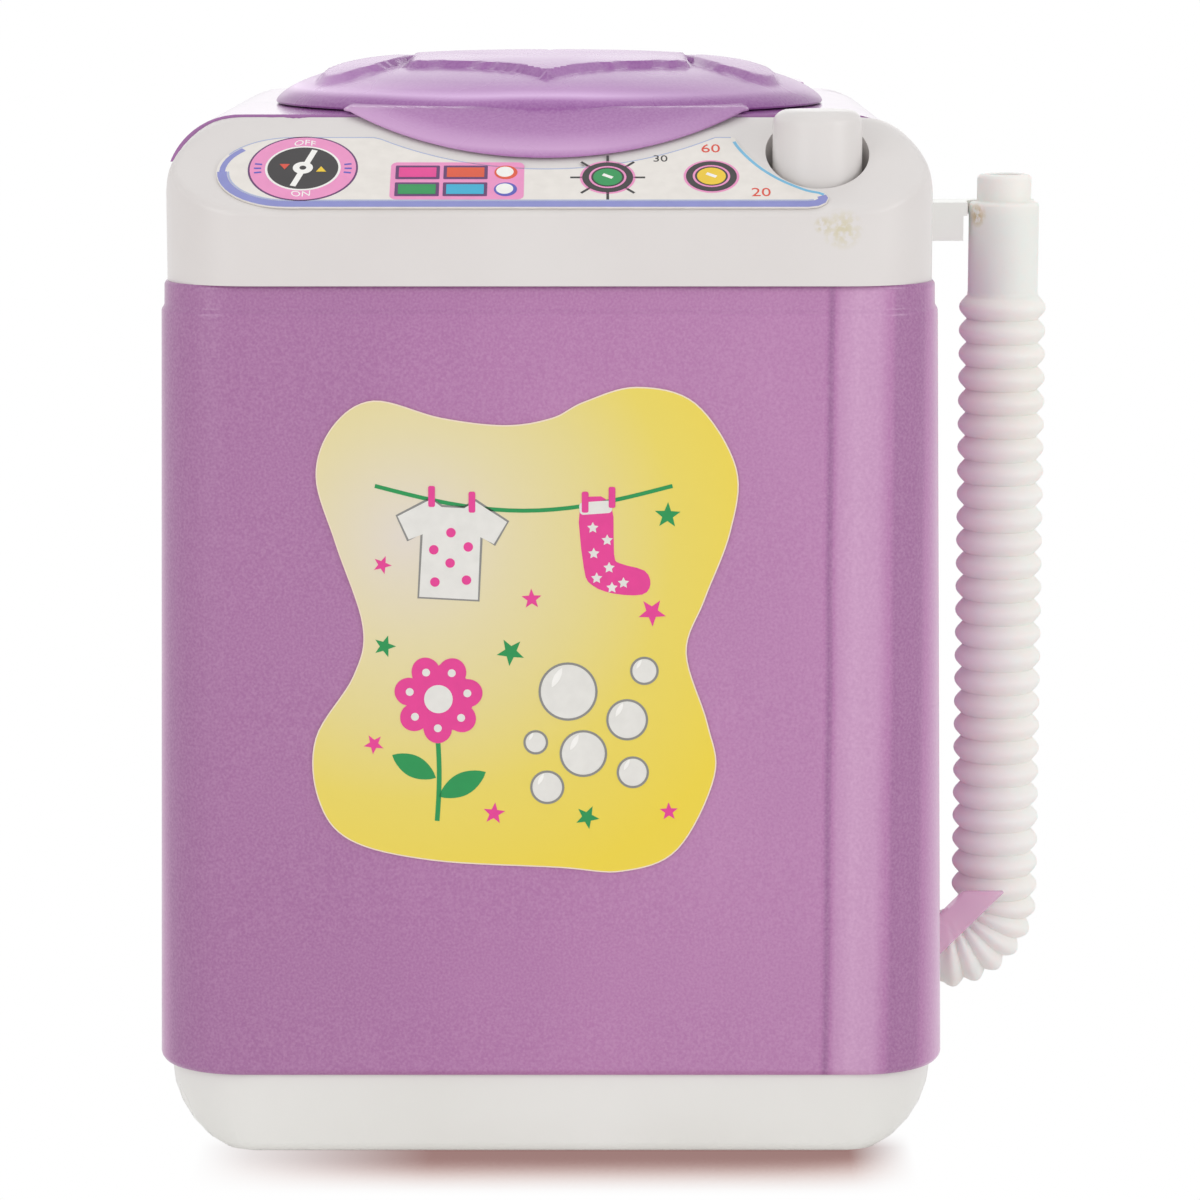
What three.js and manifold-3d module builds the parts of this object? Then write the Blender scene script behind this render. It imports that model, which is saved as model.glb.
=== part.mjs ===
// Toy washing machine, about 115 mm tall.
// Millimetres, +Z up. The origin is the centre of the base's underside, and the front faces -Y.
import * as THREE from 'three';
import { mergeVertices } from 'three/addons/utils/BufferGeometryUtils.js';
import Module from 'manifold-3d';

const wasm = await Module();
wasm.setup();

// Fits
const GAP = 0.3;
const OVERRUN = 1;
const LABEL_GAP = 0.05;
const LABEL_THICKNESS = 0.15;

// Round steps
const ROUND_STEPS = 32;
const SMALL_STEPS = 14;
const CORNER_STEPS = 6;

// Casing: two cells set the size of the shell, and the shell sets the rest
const CELL_LENGTH = 49;
const CELL_TO_SHELL = 17.65;
const SHELL_DEEPER = 0.25;
const WALL = 1.6;
const LIP_WALL = 1.2;
const CORNER_RADIUS = 9.3;
const SHELL_BOTTOM_HALF_WIDTH = CELL_LENGTH / 2 + CELL_TO_SHELL;
const SHELL_BOTTOM_HALF_DEPTH = SHELL_BOTTOM_HALF_WIDTH + SHELL_DEEPER;
const BASE_STEP_X = 1.05;
const BASE_STEP_Y = 0.8;
const COVER_STEP_X = 1.85;
const COVER_STEP_Y = 0.9;
const BASE_HALF_WIDTH = SHELL_BOTTOM_HALF_WIDTH - BASE_STEP_X;
const BASE_HALF_DEPTH = SHELL_BOTTOM_HALF_DEPTH - BASE_STEP_Y;
const BASE_HEIGHT = 8.7;
const BASE_FLOOR = 2.4;
const BASE_SIDE_FILLET = 8.2;
const BASE_FRONT_FILLET = 1;
const BASE_LIP = 2.3;
const SHELL_DRAFT = 1.3;
const SHELL_TOP_Z = 92.6;
const SHELL_EDGE = 0.5;
const SHELL_EDGE_HEIGHT = 1;
const NECK_DEPTH = 0.3;
const NECK_HEIGHT = 2.4;
const NECK_SLOPE = 0.6;
const COVER_HALF_WIDTH = SHELL_BOTTOM_HALF_WIDTH - COVER_STEP_X;
const COVER_HALF_DEPTH = SHELL_BOTTOM_HALF_DEPTH - COVER_STEP_Y;
const COVER_LIP = 2.6;
const COVER_SHOULDER = 8;
const COVER_FRONT = 7.9;
const PANEL_RISE = 9.1;
const FRONT_TOP_Z = SHELL_TOP_Z + COVER_FRONT;
const DECK_TOP_Z = FRONT_TOP_Z + PANEL_RISE;
const PANEL_DEPTH = 14.5;
const PANEL_TOP_Y = PANEL_DEPTH - COVER_HALF_DEPTH;
const DECK_SKIRT = 5;
const DECK_WALL = 1.5;
const DECK_LIP = 2.2;
const DECK_SEAT_SHIFT = -0.7;

// Lid and its hinge
const LID_X = -0.4;
const LID_Y = 3;
const LID_MARGIN = 10.75;
const LID_RADIUS = COVER_HALF_DEPTH - LID_MARGIN;
const LID_RISE = 4.8;
const LID_WALL = 1.4;
const LID_DOME_SHARES = [[1, 0], [0.985, 0.1], [0.91, 0.3], [0.81, 0.55], [0.6, 0.85], [0.36, 0.97], [0, 1]];
const TAB_PROUD = 3.25;
const TAB_TO_FRONT = 7.2;
const TAB_SIDE_CUT = 9.25;
const TAB_ROOT = 13;
const TAB_RADIUS = LID_RADIUS + TAB_PROUD;
const TAB_REACH = COVER_HALF_DEPTH - TAB_TO_FRONT;
const TAB_HALF_WIDTH = LID_RADIUS - TAB_SIDE_CUT;
const TAB_THICKNESS = 1.2;
const TAB_ROOT_Y = PANEL_TOP_Y + TAB_ROOT;
const RELIEF = 0.5;
const HEART_SIDE_MARGIN = 19.75;
const HEART_END_MARGIN = 11.75;
const PETAL_TO_RIM = 11.25;
const PETAL_TILT = 15;
const HEART_HALF_WIDTH = LID_RADIUS - HEART_SIDE_MARGIN;
const HEART_LENGTH = LID_RADIUS - HEART_END_MARGIN;
const HEART_SHARES = [
  [0, -0.5], [0.5, -0.12], [0.86, 0.14], [1, 0.32], [0.86, 0.47],
  [0.52, 0.5], [0.2, 0.42], [0, 0.26],
];
const PETAL_HALF_LENGTH = 6;
const PETAL_HALF_WIDTH = 3.4;
const PETAL_OFFSET = LID_RADIUS - PETAL_TO_RIM;
const HINGE_TO_REAR = 4.9;
const HINGE_Y = COVER_HALF_DEPTH - HINGE_TO_REAR;
const HINGE_BARREL_RADIUS = 1.6;
const HINGE_PIN_RADIUS = 1;
const HINGE_BARREL_HALF = 12.2;
const HINGE_EAR = 2.5;
const HINGE_EAR_RADIUS = 1.9;
const HINGE_ARM_HALF = 2.2;
const HINGE_ARM_X = 8;
const HINGE_LIFT = 0.7;
const CONSOLE_MARGIN = 9.3;
const CONSOLE_TO_REAR = 3;
const CONSOLE_DEPTH = 10.5;
const RECESS_DEPTH = 9.5;
const CONSOLE_HALF_WIDTH = COVER_HALF_WIDTH - CONSOLE_MARGIN;
const CONSOLE_REAR_Y = COVER_HALF_DEPTH - CONSOLE_TO_REAR;
const CONSOLE_FRONT_Y = COVER_HALF_DEPTH - CONSOLE_TO_REAR - CONSOLE_DEPTH;
const CONSOLE_RISE = 1.3;
const CONSOLE_RADIUS = 2;
const HINGE_RECESS_HALF = 15.6;
const HINGE_RECESS_Y = CONSOLE_REAR_Y - RECESS_DEPTH;

// Wash tub and drive
const LID_OVER_MOUTH = 6.25;
const TUB_TAPER = 2.5;
const TUB_FLANGE_PAST_LID = 0.75;
const COLLAR_CLEARANCE = 0.5;
const TUB_SCREW_INSET = 2.5;
const PULSATOR_CLEARANCE = 5;
const TUB_MOUTH_RADIUS = LID_RADIUS - LID_OVER_MOUTH;
const TUB_FLOOR_RADIUS = TUB_MOUTH_RADIUS - TUB_TAPER;
const TUB_WALL = 1.2;
const TUB_RIM_DROP = 5.2;
const TUB_RIM_Z = DECK_TOP_Z - TUB_RIM_DROP;
const TUB_FLOOR_Z = 47;
const TUB_FLOOR = 1.5;
const TUB_FLANGE_RADIUS = LID_RADIUS + TUB_FLANGE_PAST_LID;
const TUB_FLANGE = 1.2;
const COLLAR_RADIUS = TUB_MOUTH_RADIUS + COLLAR_CLEARANCE;
const COLLAR_WALL = 1.4;
const TUB_SCREW_RING = TUB_FLANGE_RADIUS - TUB_SCREW_INSET;
const TUB_SCREW_ANGLES = [90, 210, 330];
const TUB_BOSS_RADIUS = 2.4;
const SHAFT_RADIUS = 1;
const SHAFT_BOTTOM_Z = 23.6;
const SHAFT_TOP_Z = 50.6;
const SEAL_RADIUS = 2.9;
const SEAL_FLANGE_RADIUS = 4;
const SEAL_FLANGE = 0.5;
const PULSATOR_RADIUS = TUB_FLOOR_RADIUS - PULSATOR_CLEARANCE;
const PULSATOR_THICKNESS = 1.4;
const PULSATOR_HUB_RADIUS = 4.4;
const PULSATOR_HUB_TOP_Z = 52.5;
const FIN_COUNT = 4;
const FIN_WIDTH = 1.6;
const FIN_HEIGHT = 3.2;
const MOTOR_RADIUS = 10.1;
const MOTOR_HALF_FLAT = 7.5;
const MOTOR_HEIGHT = 21;
const MOTOR_NOSE_RADIUS = 3.2;
const MOTOR_NOSE = 1.2;
const END_CAP_HEIGHT = 2.6;
const END_CAP_INSET = 0.6;
const BRACKET_THICKNESS = 1;
const BRACKET_HALF_WIDTH = 4;
const BRACKET_FOOT = 7.4;
const BRACKET_DROP = 3;
const BRACKET_BOSS_RADIUS = 2.4;

// Small screws
const SCREW_RADIUS = 1;
const SCREW_HEAD_RADIUS = 2;
const SCREW_HEAD = 1.2;
const SCREW_GRIP = 3;

// Power button and switch
const BUTTON_TO_SIDE = 12.2;
const BUTTON_TO_FRONT = 8.6;
const BUTTON_X = COVER_HALF_WIDTH - BUTTON_TO_SIDE;
const BUTTON_Y = BUTTON_TO_FRONT - COVER_HALF_DEPTH;
const BUTTON_RADIUS = 4.7;
const BUTTON_PROUD = 0.8;
const BUTTON_TOP_Z = DECK_TOP_Z + BUTTON_PROUD;
const BUTTON_EDGE = 1.4;
const BUTTON_FLANGE_RADIUS = 6.2;
const BUTTON_FLANGE = 1.5;
const BUTTON_STEM_RADIUS = 2;
const BUTTON_STEM = 2.5;
const WELL_RADIUS = 5.45;
const GUIDE_RADIUS = 6.9;
const GUIDE_RISE = 6;
const GUIDE_BOTTOM_Z = SHELL_TOP_Z + GUIDE_RISE;
const CARRIER_HALF_WIDTH = 8;
const CARRIER_HALF_DEPTH = 4;
const CARRIER_WALL = 1.2;
const CARRIER_DROP = 8.9;
const CARRIER_BOTTOM_Z = SHELL_TOP_Z - CARRIER_DROP;
const SWITCH_HALF_WIDTH = 6;
const SWITCH_HALF_DEPTH = 3.4;
const SWITCH_HEIGHT = 6.5;
const SWITCH_DOME_RADIUS = 1.5;
const SWITCH_DOME = 0.4;
const BUTTON_SPRING_RADIUS = 3.3;
const BUTTON_SPRING_WIRE = 0.25;
const BUTTON_SPRING_TURNS = 3;

// Battery compartment
const CELL_RADIUS = 7.25;
const CELL_NUB_RADIUS = 2.75;
const CELL_NUB = 1.5;
const CELL_PITCH = 15.4;
const CELL_TO_REAR = 27.7;
const CELL_FIRST_Y = SHELL_BOTTOM_HALF_DEPTH - CELL_TO_REAR;
const CELL_END_ROOM = 3.6;
const BOX_SIDE_ROOM = 0.5;
const BOX_WALL = 1.2;
const DOOR_THICKNESS = 1.2;
const RAIL_THICKNESS = 0.6;
const RAIL_WIDTH = 2;
const DOOR_PULL_HEIGHT = 2.4;
const DOOR_GRIP_COUNT = 3;
const DOOR_GRIP_PITCH = 2.4;
const DOOR_GRIP = 0.2;
const CONTACT_THICKNESS = 0.5;
const CONTACT_HALF_WIDTH = 5;
const CONTACT_HALF_HEIGHT = 4.5;
const CONTACT_SPRING_RADIUS = 3.2;
const CONTACT_SPRING_WIRE = 0.25;
const CONTACT_SPRING_TURNS = 2;

// Corner bosses and base screws
const BOSS_TO_SIDE = 7.85;
const BOSS_TO_END = 9.8;
const BOSS_X = SHELL_BOTTOM_HALF_WIDTH - BOSS_TO_SIDE;
const BOSS_Y = SHELL_BOTTOM_HALF_DEPTH - BOSS_TO_END;
const BOSS_RADIUS = 3;
const BOSS_RIB = 1.6;
const BASE_BOSS_TOP_Z = 12;
const SHELL_BOSS_TOP_Z = 28;
const BASE_SCREW_RECESS = 1;
const BASE_SCREW_LENGTH = 18;

// Hose, its port, hook and drain pipe
const HOSE_REACH = 8.65;
const HOSE_X = SHELL_BOTTOM_HALF_WIDTH + HOSE_REACH;
const PORT_Z = 12.7;
const HOSE_BEND = 6;
const HOSE_BEND_RIBS = 6;
const HOSE_PITCH = 2.667;
const HOSE_RIBS = 26;
const HOSE_LOW_RIBS = 2;
const HOSE_CREST_RADIUS = 4.9;
const HOSE_VALLEY_RADIUS = 4;
const HOSE_BORE_RADIUS = 3.2;
const HOSE_SIDES = 8;
const HOSE_BORE_EVERY = 5;
const HOSE_CUFF = 8.4;
const HOSE_PLAIN_RADIUS = 3.95;
const NOZZLE_RADIUS = 3.05;
const NOZZLE_BORE_RADIUS = 2;
const HOSE_PLAIN_DROP = 0.5;
const NOZZLE_HEIGHT = 3.6;
const NOZZLE_EDGE = 0.6;
const SHOULDER = 0.7;
const DRAIN_RADIUS = 2.9;
const DRAIN_BORE_RADIUS = 2.1;
const DRAIN_X = 15;
const DRAIN_BEND = 11;
const DRAIN_SHORT = 0.15;
const DRAIN_END_X = SHELL_BOTTOM_HALF_WIDTH - DRAIN_SHORT;
const DRAIN_STEPS = 10;
const NIPPLE_RADIUS = 1.8;
const NIPPLE_BORE_RADIUS = 1.1;
const NIPPLE_LENGTH = 4;
const HOOK_RISE = 1.7;
const HOOK_HEIGHT = 4.3;
const HOOK_LEG_BOTTOM_Z = SHELL_TOP_Z + HOOK_RISE;
const HOOK_TOP_Z = HOOK_LEG_BOTTOM_Z + HOOK_HEIGHT;
const HOSE_PLAIN_TOP_Z = HOOK_TOP_Z - HOSE_PLAIN_DROP;
const NOZZLE_TOP_Z = HOSE_PLAIN_TOP_Z + NOZZLE_HEIGHT;
const HOOK_PLATE = 1.5;
const HOOK_LEG_CLEARANCE = 4.7;
const HOOK_LEG_END_X = HOSE_X - HOOK_LEG_CLEARANCE;
const HOOK_HALF_WIDTH = 2;
const HOOK_CRADLE_WALL = 1.7;
const HOOK_CRADLE_END = 50;
const HOOK_PEG_HALF = 1.2;
const HOOK_PEG = 3;
const HOOK_TAIL_WIDTH = 0.9;
const TONGUE_BAND = 4.8;
const TONGUE_PAST_HOSE = 0.7;
const TONGUE_TIP_X = HOSE_X + TONGUE_PAST_HOSE;
const TONGUE_TIP_Z = 20.5;
const TONGUE_THICKNESS = 1.2;
const TONGUE_CLEARANCE = 0.6;

// Stickers
const FRONT_STICKER_WIDTH = 44.6;
const FRONT_STICKER_HEIGHT = 51.3;
const FRONT_STICKER_X = -2.65;
const FRONT_STICKER_Z = 56.5;
const FRONT_STICKER_SHARES = [
  [-0.35, 0.472], [-0.192, 0.437], [-0.043, 0.422], [0.066, 0.437], [0.141, 0.47], [0.264, 0.5],
  [0.401, 0.467], [0.497, 0.335], [0.484, 0.204], [0.424, 0.064], [0.382, -0.045], [0.432, -0.191],
  [0.449, -0.301], [0.362, -0.454], [0.232, -0.5], [0.079, -0.492], [-0.219, -0.477], [-0.412, -0.435],
  [-0.487, -0.349], [-0.492, -0.222], [-0.402, -0.093], [-0.379, 0.01], [-0.441, 0.179], [-0.486, 0.317],
  [-0.446, 0.419],
];
const FRONT_STICKER_STEPS = 50;
const PANEL_STICKER_MARGIN = 13.3;
const PANEL_STICKER_PAST_BUTTON = 0.2;
const PANEL_STICKER_LEFT_X = PANEL_STICKER_MARGIN - COVER_HALF_WIDTH;
const PANEL_STICKER_LOW = 0.8;
const PANEL_STICKER_END_RADIUS = 6.2;
const PANEL_STICKER_RIGHT_X = BUTTON_X + PANEL_STICKER_PAST_BUTTON;
const PANEL_STICKER_TIP = 1;
const PANEL_STICKER_TAB_MARGIN = 1.2;
const PANEL_STICKER_WELL_MARGIN = 0.5;
const PANEL_STICKER_WELL_ANGLES = [265, 245, 225, 200, 180];
const PANEL_STICKER_STEPS = 8;

// Leads
const LEAD_RADIUS = 0.6;
const LEAD_SIDES = 6;
const LEAD_STEPS = 26;
const LEAD_HOLE_Z = 12;
const LEAD_HOLE_2_PAST = 12.3;
// Each route's points are shares of the shell's half width and half depth, and a height
const LEAD_ROUTES = {
  lead_battery_to_switch: [
    [0.6738, 0.3467, 12], [0.7355, 0.3467, 12.3], [0.8185, 0.3302, 18],
    [0.8778, 0.283, 30], [0.8873, 0, 50], [0.8778, -0.3774, 68],
    [0.8304, -0.5189, 82], [0.7592, -0.6014, 87.5], [0.7355, -0.6887, 88],
  ],
  lead_switch_to_motor: [
    [0.5931, -0.6887, 88], [0.5979, -0.6368, 86], [0.6287, -0.6014, 78],
    [0.6406, -0.5896, 60], [0.5694, -0.4953, 44], [0.3796, -0.3302, 32],
    [0.1661, -0.2005, 23], [0.1234, -0.1014, 21.6],
  ],
  lead_motor_to_battery: [
    [0.2254, 0.1179, 21.6], [0.3321, 0.1887, 22], [0.5219, 0.3774, 21.6],
    [0.688, 0.5425, 20.5], [0.7687, 0.6226, 16.5], [0.7402, 0.6368, 12.6],
    [0.6738, 0.6368, 12],
  ],
};

// Sizes worked out from the ones above
const QUARTER = Math.PI / 2;
const PANEL_RUN = PANEL_TOP_Y + COVER_HALF_DEPTH;
const PANEL_SLOPE = Math.atan2(DECK_TOP_Z - FRONT_TOP_Z, PANEL_RUN);
const DECK_BOTTOM_Z = DECK_TOP_Z - DECK_SKIRT;
const COVER_SIDE_TOP_Z = DECK_BOTTOM_Z - GAP;
const LID_BOTTOM_Z = DECK_TOP_Z + GAP;
const HINGE_Z = DECK_TOP_Z + HINGE_LIFT + HINGE_BARREL_RADIUS;
const SHELL_HEIGHT = SHELL_TOP_Z - BASE_HEIGHT;
const TUB_BOTTOM_Z = TUB_FLOOR_Z - TUB_FLOOR;
const MOTOR_TOP_Z = TUB_BOTTOM_Z - MOTOR_NOSE - GAP;
const MOTOR_BOTTOM_Z = MOTOR_TOP_Z - MOTOR_HEIGHT;
const DOOR_BOTTOM_Z = RAIL_THICKNESS + GAP;
const CELL_Z = DOOR_BOTTOM_Z + DOOR_THICKNESS + GAP + CELL_RADIUS;
const BOX_TOP_Z = CELL_Z + CELL_RADIUS + GAP;
const BOX_HALF_LENGTH = CELL_LENGTH / 2 + CELL_END_ROOM;
const BOX_FRONT_Y = CELL_FIRST_Y - CELL_RADIUS - BOX_SIDE_ROOM;
const BOX_REAR_Y = CELL_FIRST_Y + CELL_PITCH + CELL_RADIUS + BOX_SIDE_ROOM;
const SWITCH_BOTTOM_Z = CARRIER_BOTTOM_Z + CARRIER_WALL + GAP;
const SWITCH_TOP_Z = SWITCH_BOTTOM_Z + SWITCH_HEIGHT;
const BUTTON_FLANGE_TOP_Z = GUIDE_BOTTOM_Z - GAP;
const BUTTON_FLANGE_BOTTOM_Z = BUTTON_FLANGE_TOP_Z - BUTTON_FLANGE;
const BEND_X = HOSE_X - HOSE_BEND;
const BEND_TOP_Z = PORT_Z + HOSE_BEND;
const HOSE_SPLIT_Z = BEND_TOP_Z + HOSE_LOW_RIBS * HOSE_PITCH;

// Builds a closed geometry from rings of points that all have the same count.
function skin(rings, bore = null) {
  const count = rings[0].length;
  const loops = bore ? [...rings, ...bore.slice().reverse()] : rings;
  const positions = loops.flat(2);
  const index = [];
  const quad = (a, b, i) => {
    const next = (i + 1) % count;
    index.push(a * count + i, a * count + next, b * count + next);
    index.push(a * count + i, b * count + next, b * count + i);
  };
  const spans = bore ? loops.length : loops.length - 1;
  for (let ring = 0; ring < spans; ring += 1) {
    for (let i = 0; i < count; i += 1) quad(ring, (ring + 1) % loops.length, i);
  }
  if (!bore) {
    for (const [ring, start] of [[rings[0], 0], [rings[rings.length - 1], (rings.length - 1) * count]]) {
      const middle = positions.length / 3;
      for (const axis of [0, 1, 2]) positions.push(ring.reduce((sum, p) => sum + p[axis], 0) / count);
      for (let i = 0; i < count; i += 1) {
        const pair = [start + i, start + ((i + 1) % count)];
        index.push(middle, ...(start === 0 ? pair.reverse() : pair));
      }
    }
  }
  const geometry = new THREE.BufferGeometry();
  geometry.setAttribute('position', new THREE.Float32BufferAttribute(positions, 3));
  geometry.setIndex(index);
  return geometry;
}

// Turns a closed geometry into a solid that can be cut and joined.
function solid(geometry) {
  const bare = geometry.clone();
  for (const name of Object.keys(bare.attributes)) {
    if (name !== 'position') bare.deleteAttribute(name);
  }
  const merged = mergeVertices(bare);
  const points = merged.attributes.position.array;
  const corners = merged.index.array;
  const at = (i) => new THREE.Vector3().fromArray(points, 3 * i);
  const triangles = [];
  let volume = 0;
  for (let i = 0; i < corners.length; i += 3) {
    const [a, b, c] = [corners[i], corners[i + 1], corners[i + 2]];
    if (a === b || b === c || c === a) continue;
    triangles.push([a, b, c]);
    volume += at(a).dot(at(b).cross(at(c)));
  }
  const facing = volume > 0 ? triangles : triangles.map(([a, b, c]) => [a, c, b]);
  return new wasm.Manifold(new wasm.Mesh({
    numProp: 3,
    vertProperties: new Float32Array(points),
    triVerts: new Uint32Array(facing.flat()),
  }));
}

function join(...solids) {
  return solids.reduce((whole, next) => whole.add(next));
}

function cut(body, ...tools) {
  return tools.reduce((rest, tool) => rest.subtract(tool), body);
}

// Places a shape made along Z so that its length runs along the given axis.
const TURNS = {
  x: new THREE.Matrix4().makeBasis(
    new THREE.Vector3(0, 1, 0), new THREE.Vector3(0, 0, 1), new THREE.Vector3(1, 0, 0)),
  y: new THREE.Matrix4().makeBasis(
    new THREE.Vector3(1, 0, 0), new THREE.Vector3(0, 0, 1), new THREE.Vector3(0, -1, 0)),
  z: new THREE.Matrix4(),
};

// A prism with a flat outline: [y, z] along x, [x, z] along y, or [x, y] along z.
function prism(outline, low, high, axis = 'z') {
  const shape = new THREE.Shape(outline.map(([a, b]) => new THREE.Vector2(a, b)));
  const geometry = new THREE.ExtrudeGeometry(shape, { depth: high - low, bevelEnabled: false });
  geometry.translate(0, 0, axis === 'y' ? -high : low);
  return solid(geometry.applyMatrix4(TURNS[axis]));
}

function block([x0, y0, z0], [x1, y1, z1]) {
  const geometry = new THREE.BoxGeometry(x1 - x0, y1 - y0, z1 - z0);
  return solid(geometry.translate((x0 + x1) / 2, (y0 + y1) / 2, (z0 + z1) / 2));
}

// A turned solid with a profile of [radius, height] about an upright axis through [x, y].
function turned(profile, [x, y] = [0, 0], steps = ROUND_STEPS) {
  const closed = profile[0][0] === 0 ? profile : [...profile, profile[0]];
  const geometry = new THREE.LatheGeometry(closed.map(([r, z]) => new THREE.Vector2(r, z)), steps);
  return solid(geometry.rotateX(QUARTER).translate(x, y, 0));
}

function rod(radius, low, high, place, steps = ROUND_STEPS) {
  return turned([[0, low], [radius, low], [radius, high], [0, high]], place, steps);
}

function pipe(outer, inner, low, high, place, steps = ROUND_STEPS) {
  return turned([[inner, low], [outer, low], [outer, high], [inner, high]], place, steps);
}

// Lays an upright solid down along X, with its axis through [y, z].
function lay(upright, y, z) {
  return upright.rotate([0, 90, 0]).translate([0, y, z]);
}

function mirrored(make) {
  return join(make(-1), make(1));
}

// A rounded rectangle as a ring at one height.
function roundedRing(halfWidth, halfDepth, radius, z, x = 0) {
  const ring = [];
  for (const [sideX, sideY, quarter] of [[1, 1, 0], [-1, 1, 1], [-1, -1, 2], [1, -1, 3]]) {
    for (let i = 0; i <= CORNER_STEPS; i += 1) {
      const angle = (quarter + i / CORNER_STEPS) * QUARTER;
      ring.push([
        x + sideX * (halfWidth - radius) + radius * Math.cos(angle),
        sideY * (halfDepth - radius) + radius * Math.sin(angle),
        z,
      ]);
    }
  }
  return ring;
}

// Levels are [height, inset at the sides, inset at the front and back].
function roundedBody(halfWidth, halfDepth, radius, levels, x = 0) {
  return solid(skin(levels.map(([z, side, front]) => (
    roundedRing(halfWidth - side, halfDepth - front, Math.max(radius - Math.max(side, 0), WALL), z, x)
  ))));
}

function straightBody(halfWidth, halfDepth, radius, low, high, x = 0) {
  return roundedBody(halfWidth, halfDepth, radius, [[low, 0, 0], [high, 0, 0]], x);
}

const object = new THREE.Group();
const WHITE = { color: 0xe4e2e0, roughness: 0.35, metalness: 0 };
const PURPLE = { color: 0xb078aa, roughness: 0.3, metalness: 0 };
const HOSE_WHITE = { color: 0xe8ded8, roughness: 0.5, metalness: 0 };
const STEEL = { color: 0xb8b8ba, roughness: 0.3, metalness: 1 };
const DARK = { color: 0x3a3a3c, roughness: 0.6, metalness: 0 };
const CREAM = { color: 0xf4e36a, roughness: 0.5, metalness: 0 };
const RED = { color: 0xb02a2a, roughness: 0.5, metalness: 0 };

function addPart(name, shape, look) {
  const { vertProperties, triVerts } = shape.getMesh();
  const geometry = new THREE.BufferGeometry();
  geometry.setAttribute('position', new THREE.Float32BufferAttribute(vertProperties, 3));
  geometry.setIndex(Array.from(triVerts));
  const mesh = new THREE.Mesh(geometry, new THREE.MeshStandardMaterial(look));
  mesh.name = name;
  object.add(mesh);
}

// Shell: half sizes at a height, with the draft of its walls
function shellLevels(inset) {
  const draftAt = (z) => SHELL_DRAFT * (z - BASE_HEIGHT) / SHELL_HEIGHT;
  const level = (z, extra) => [z, draftAt(z) + extra + inset, draftAt(z) + extra + inset];
  return [
    level(BASE_HEIGHT, inset ? 0 : SHELL_EDGE),
    level(BASE_HEIGHT + SHELL_EDGE_HEIGHT, 0),
    level(SHELL_TOP_Z - NECK_HEIGHT - NECK_SLOPE, 0),
    level(SHELL_TOP_Z - NECK_HEIGHT, inset ? 0 : NECK_DEPTH),
    level(SHELL_TOP_Z, inset ? 0 : NECK_DEPTH),
  ];
}

function extended(levels) {
  const first = levels[0];
  const last = levels[levels.length - 1];
  return [[first[0] - OVERRUN, first[1], first[2]], ...levels, [last[0] + OVERRUN, last[1], last[2]]];
}

const shellSize = [SHELL_BOTTOM_HALF_WIDTH, SHELL_BOTTOM_HALF_DEPTH, CORNER_RADIUS];
const shellOuter = roundedBody(...shellSize, shellLevels(0));
const shellInner = roundedBody(...shellSize, extended(shellLevels(WALL)));

// The round hole in the right wall that the hose's cuff passes through
const portHole = lay(
  rod(HOSE_VALLEY_RADIUS + GAP, BASE_HALF_WIDTH - CORNER_RADIUS, BEND_X, [0, 0], SMALL_STEPS * 2),
  0, PORT_Z);

function bodyShell() {
  const column = (sideX, sideY) => join(
    rod(BOSS_RADIUS, BASE_BOSS_TOP_Z + GAP, SHELL_BOSS_TOP_Z, [sideX * BOSS_X, sideY * BOSS_Y], SMALL_STEPS),
    block(
      [Math.min(sideX * BOSS_X, sideX * SHELL_BOTTOM_HALF_WIDTH), sideY * BOSS_Y - BOSS_RIB / 2,
        BASE_BOSS_TOP_Z + GAP],
      [Math.max(sideX * BOSS_X, sideX * SHELL_BOTTOM_HALF_WIDTH), sideY * BOSS_Y + BOSS_RIB / 2,
        SHELL_BOSS_TOP_Z]));
  const columns = mirrored((sideX) => mirrored((sideY) => column(sideX, sideY))).intersect(shellOuter);
  const pilots = mirrored((sideX) => mirrored((sideY) => (
    rod(SCREW_RADIUS + GAP, BASE_BOSS_TOP_Z, SHELL_BOSS_TOP_Z - BOSS_RADIUS,
      [sideX * BOSS_X, sideY * BOSS_Y], SMALL_STEPS))));
  // The tongue is a band at 45 degrees from the wall, in front of the hose's elbow
  const rootX = SHELL_BOTTOM_HALF_WIDTH - WALL / 2;
  const fall = TONGUE_TIP_X - rootX;
  const front = -(HOSE_CREST_RADIUS + TONGUE_CLEARANCE + TONGUE_THICKNESS);
  const tongue = prism([
    [rootX, TONGUE_TIP_Z - fall],
    [TONGUE_TIP_X, TONGUE_TIP_Z],
    [TONGUE_TIP_X - TONGUE_BAND, TONGUE_TIP_Z],
    [rootX, TONGUE_TIP_Z - fall + TONGUE_BAND],
  ], front, front + TONGUE_THICKNESS, 'y');
  return cut(join(cut(shellOuter, shellInner), columns, tongue), pilots, portHole);
}

// Base: a fillet along each side, a small one at the front and back
function baseOuter() {
  const levels = [];
  for (let i = 0; i <= CORNER_STEPS; i += 1) {
    const angle = (i / CORNER_STEPS) * QUARTER;
    const z = BASE_SIDE_FILLET * (1 - Math.cos(angle));
    const side = BASE_SIDE_FILLET * (1 - Math.sin(angle));
    const low = Math.max(BASE_FRONT_FILLET - z, 0);
    const front = BASE_FRONT_FILLET - Math.sqrt(BASE_FRONT_FILLET ** 2 - low ** 2);
    levels.push([z, side, front]);
  }
  levels.push([BASE_HEIGHT, 0, 0]);
  return roundedBody(BASE_HALF_WIDTH, BASE_HALF_DEPTH, CORNER_RADIUS, levels);
}

function doorOutline(clearance) {
  const half = BOX_HALF_LENGTH + RAIL_WIDTH - GAP + clearance;
  return { half, front: BOX_FRONT_Y - clearance, rear: BASE_HALF_DEPTH };
}

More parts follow.
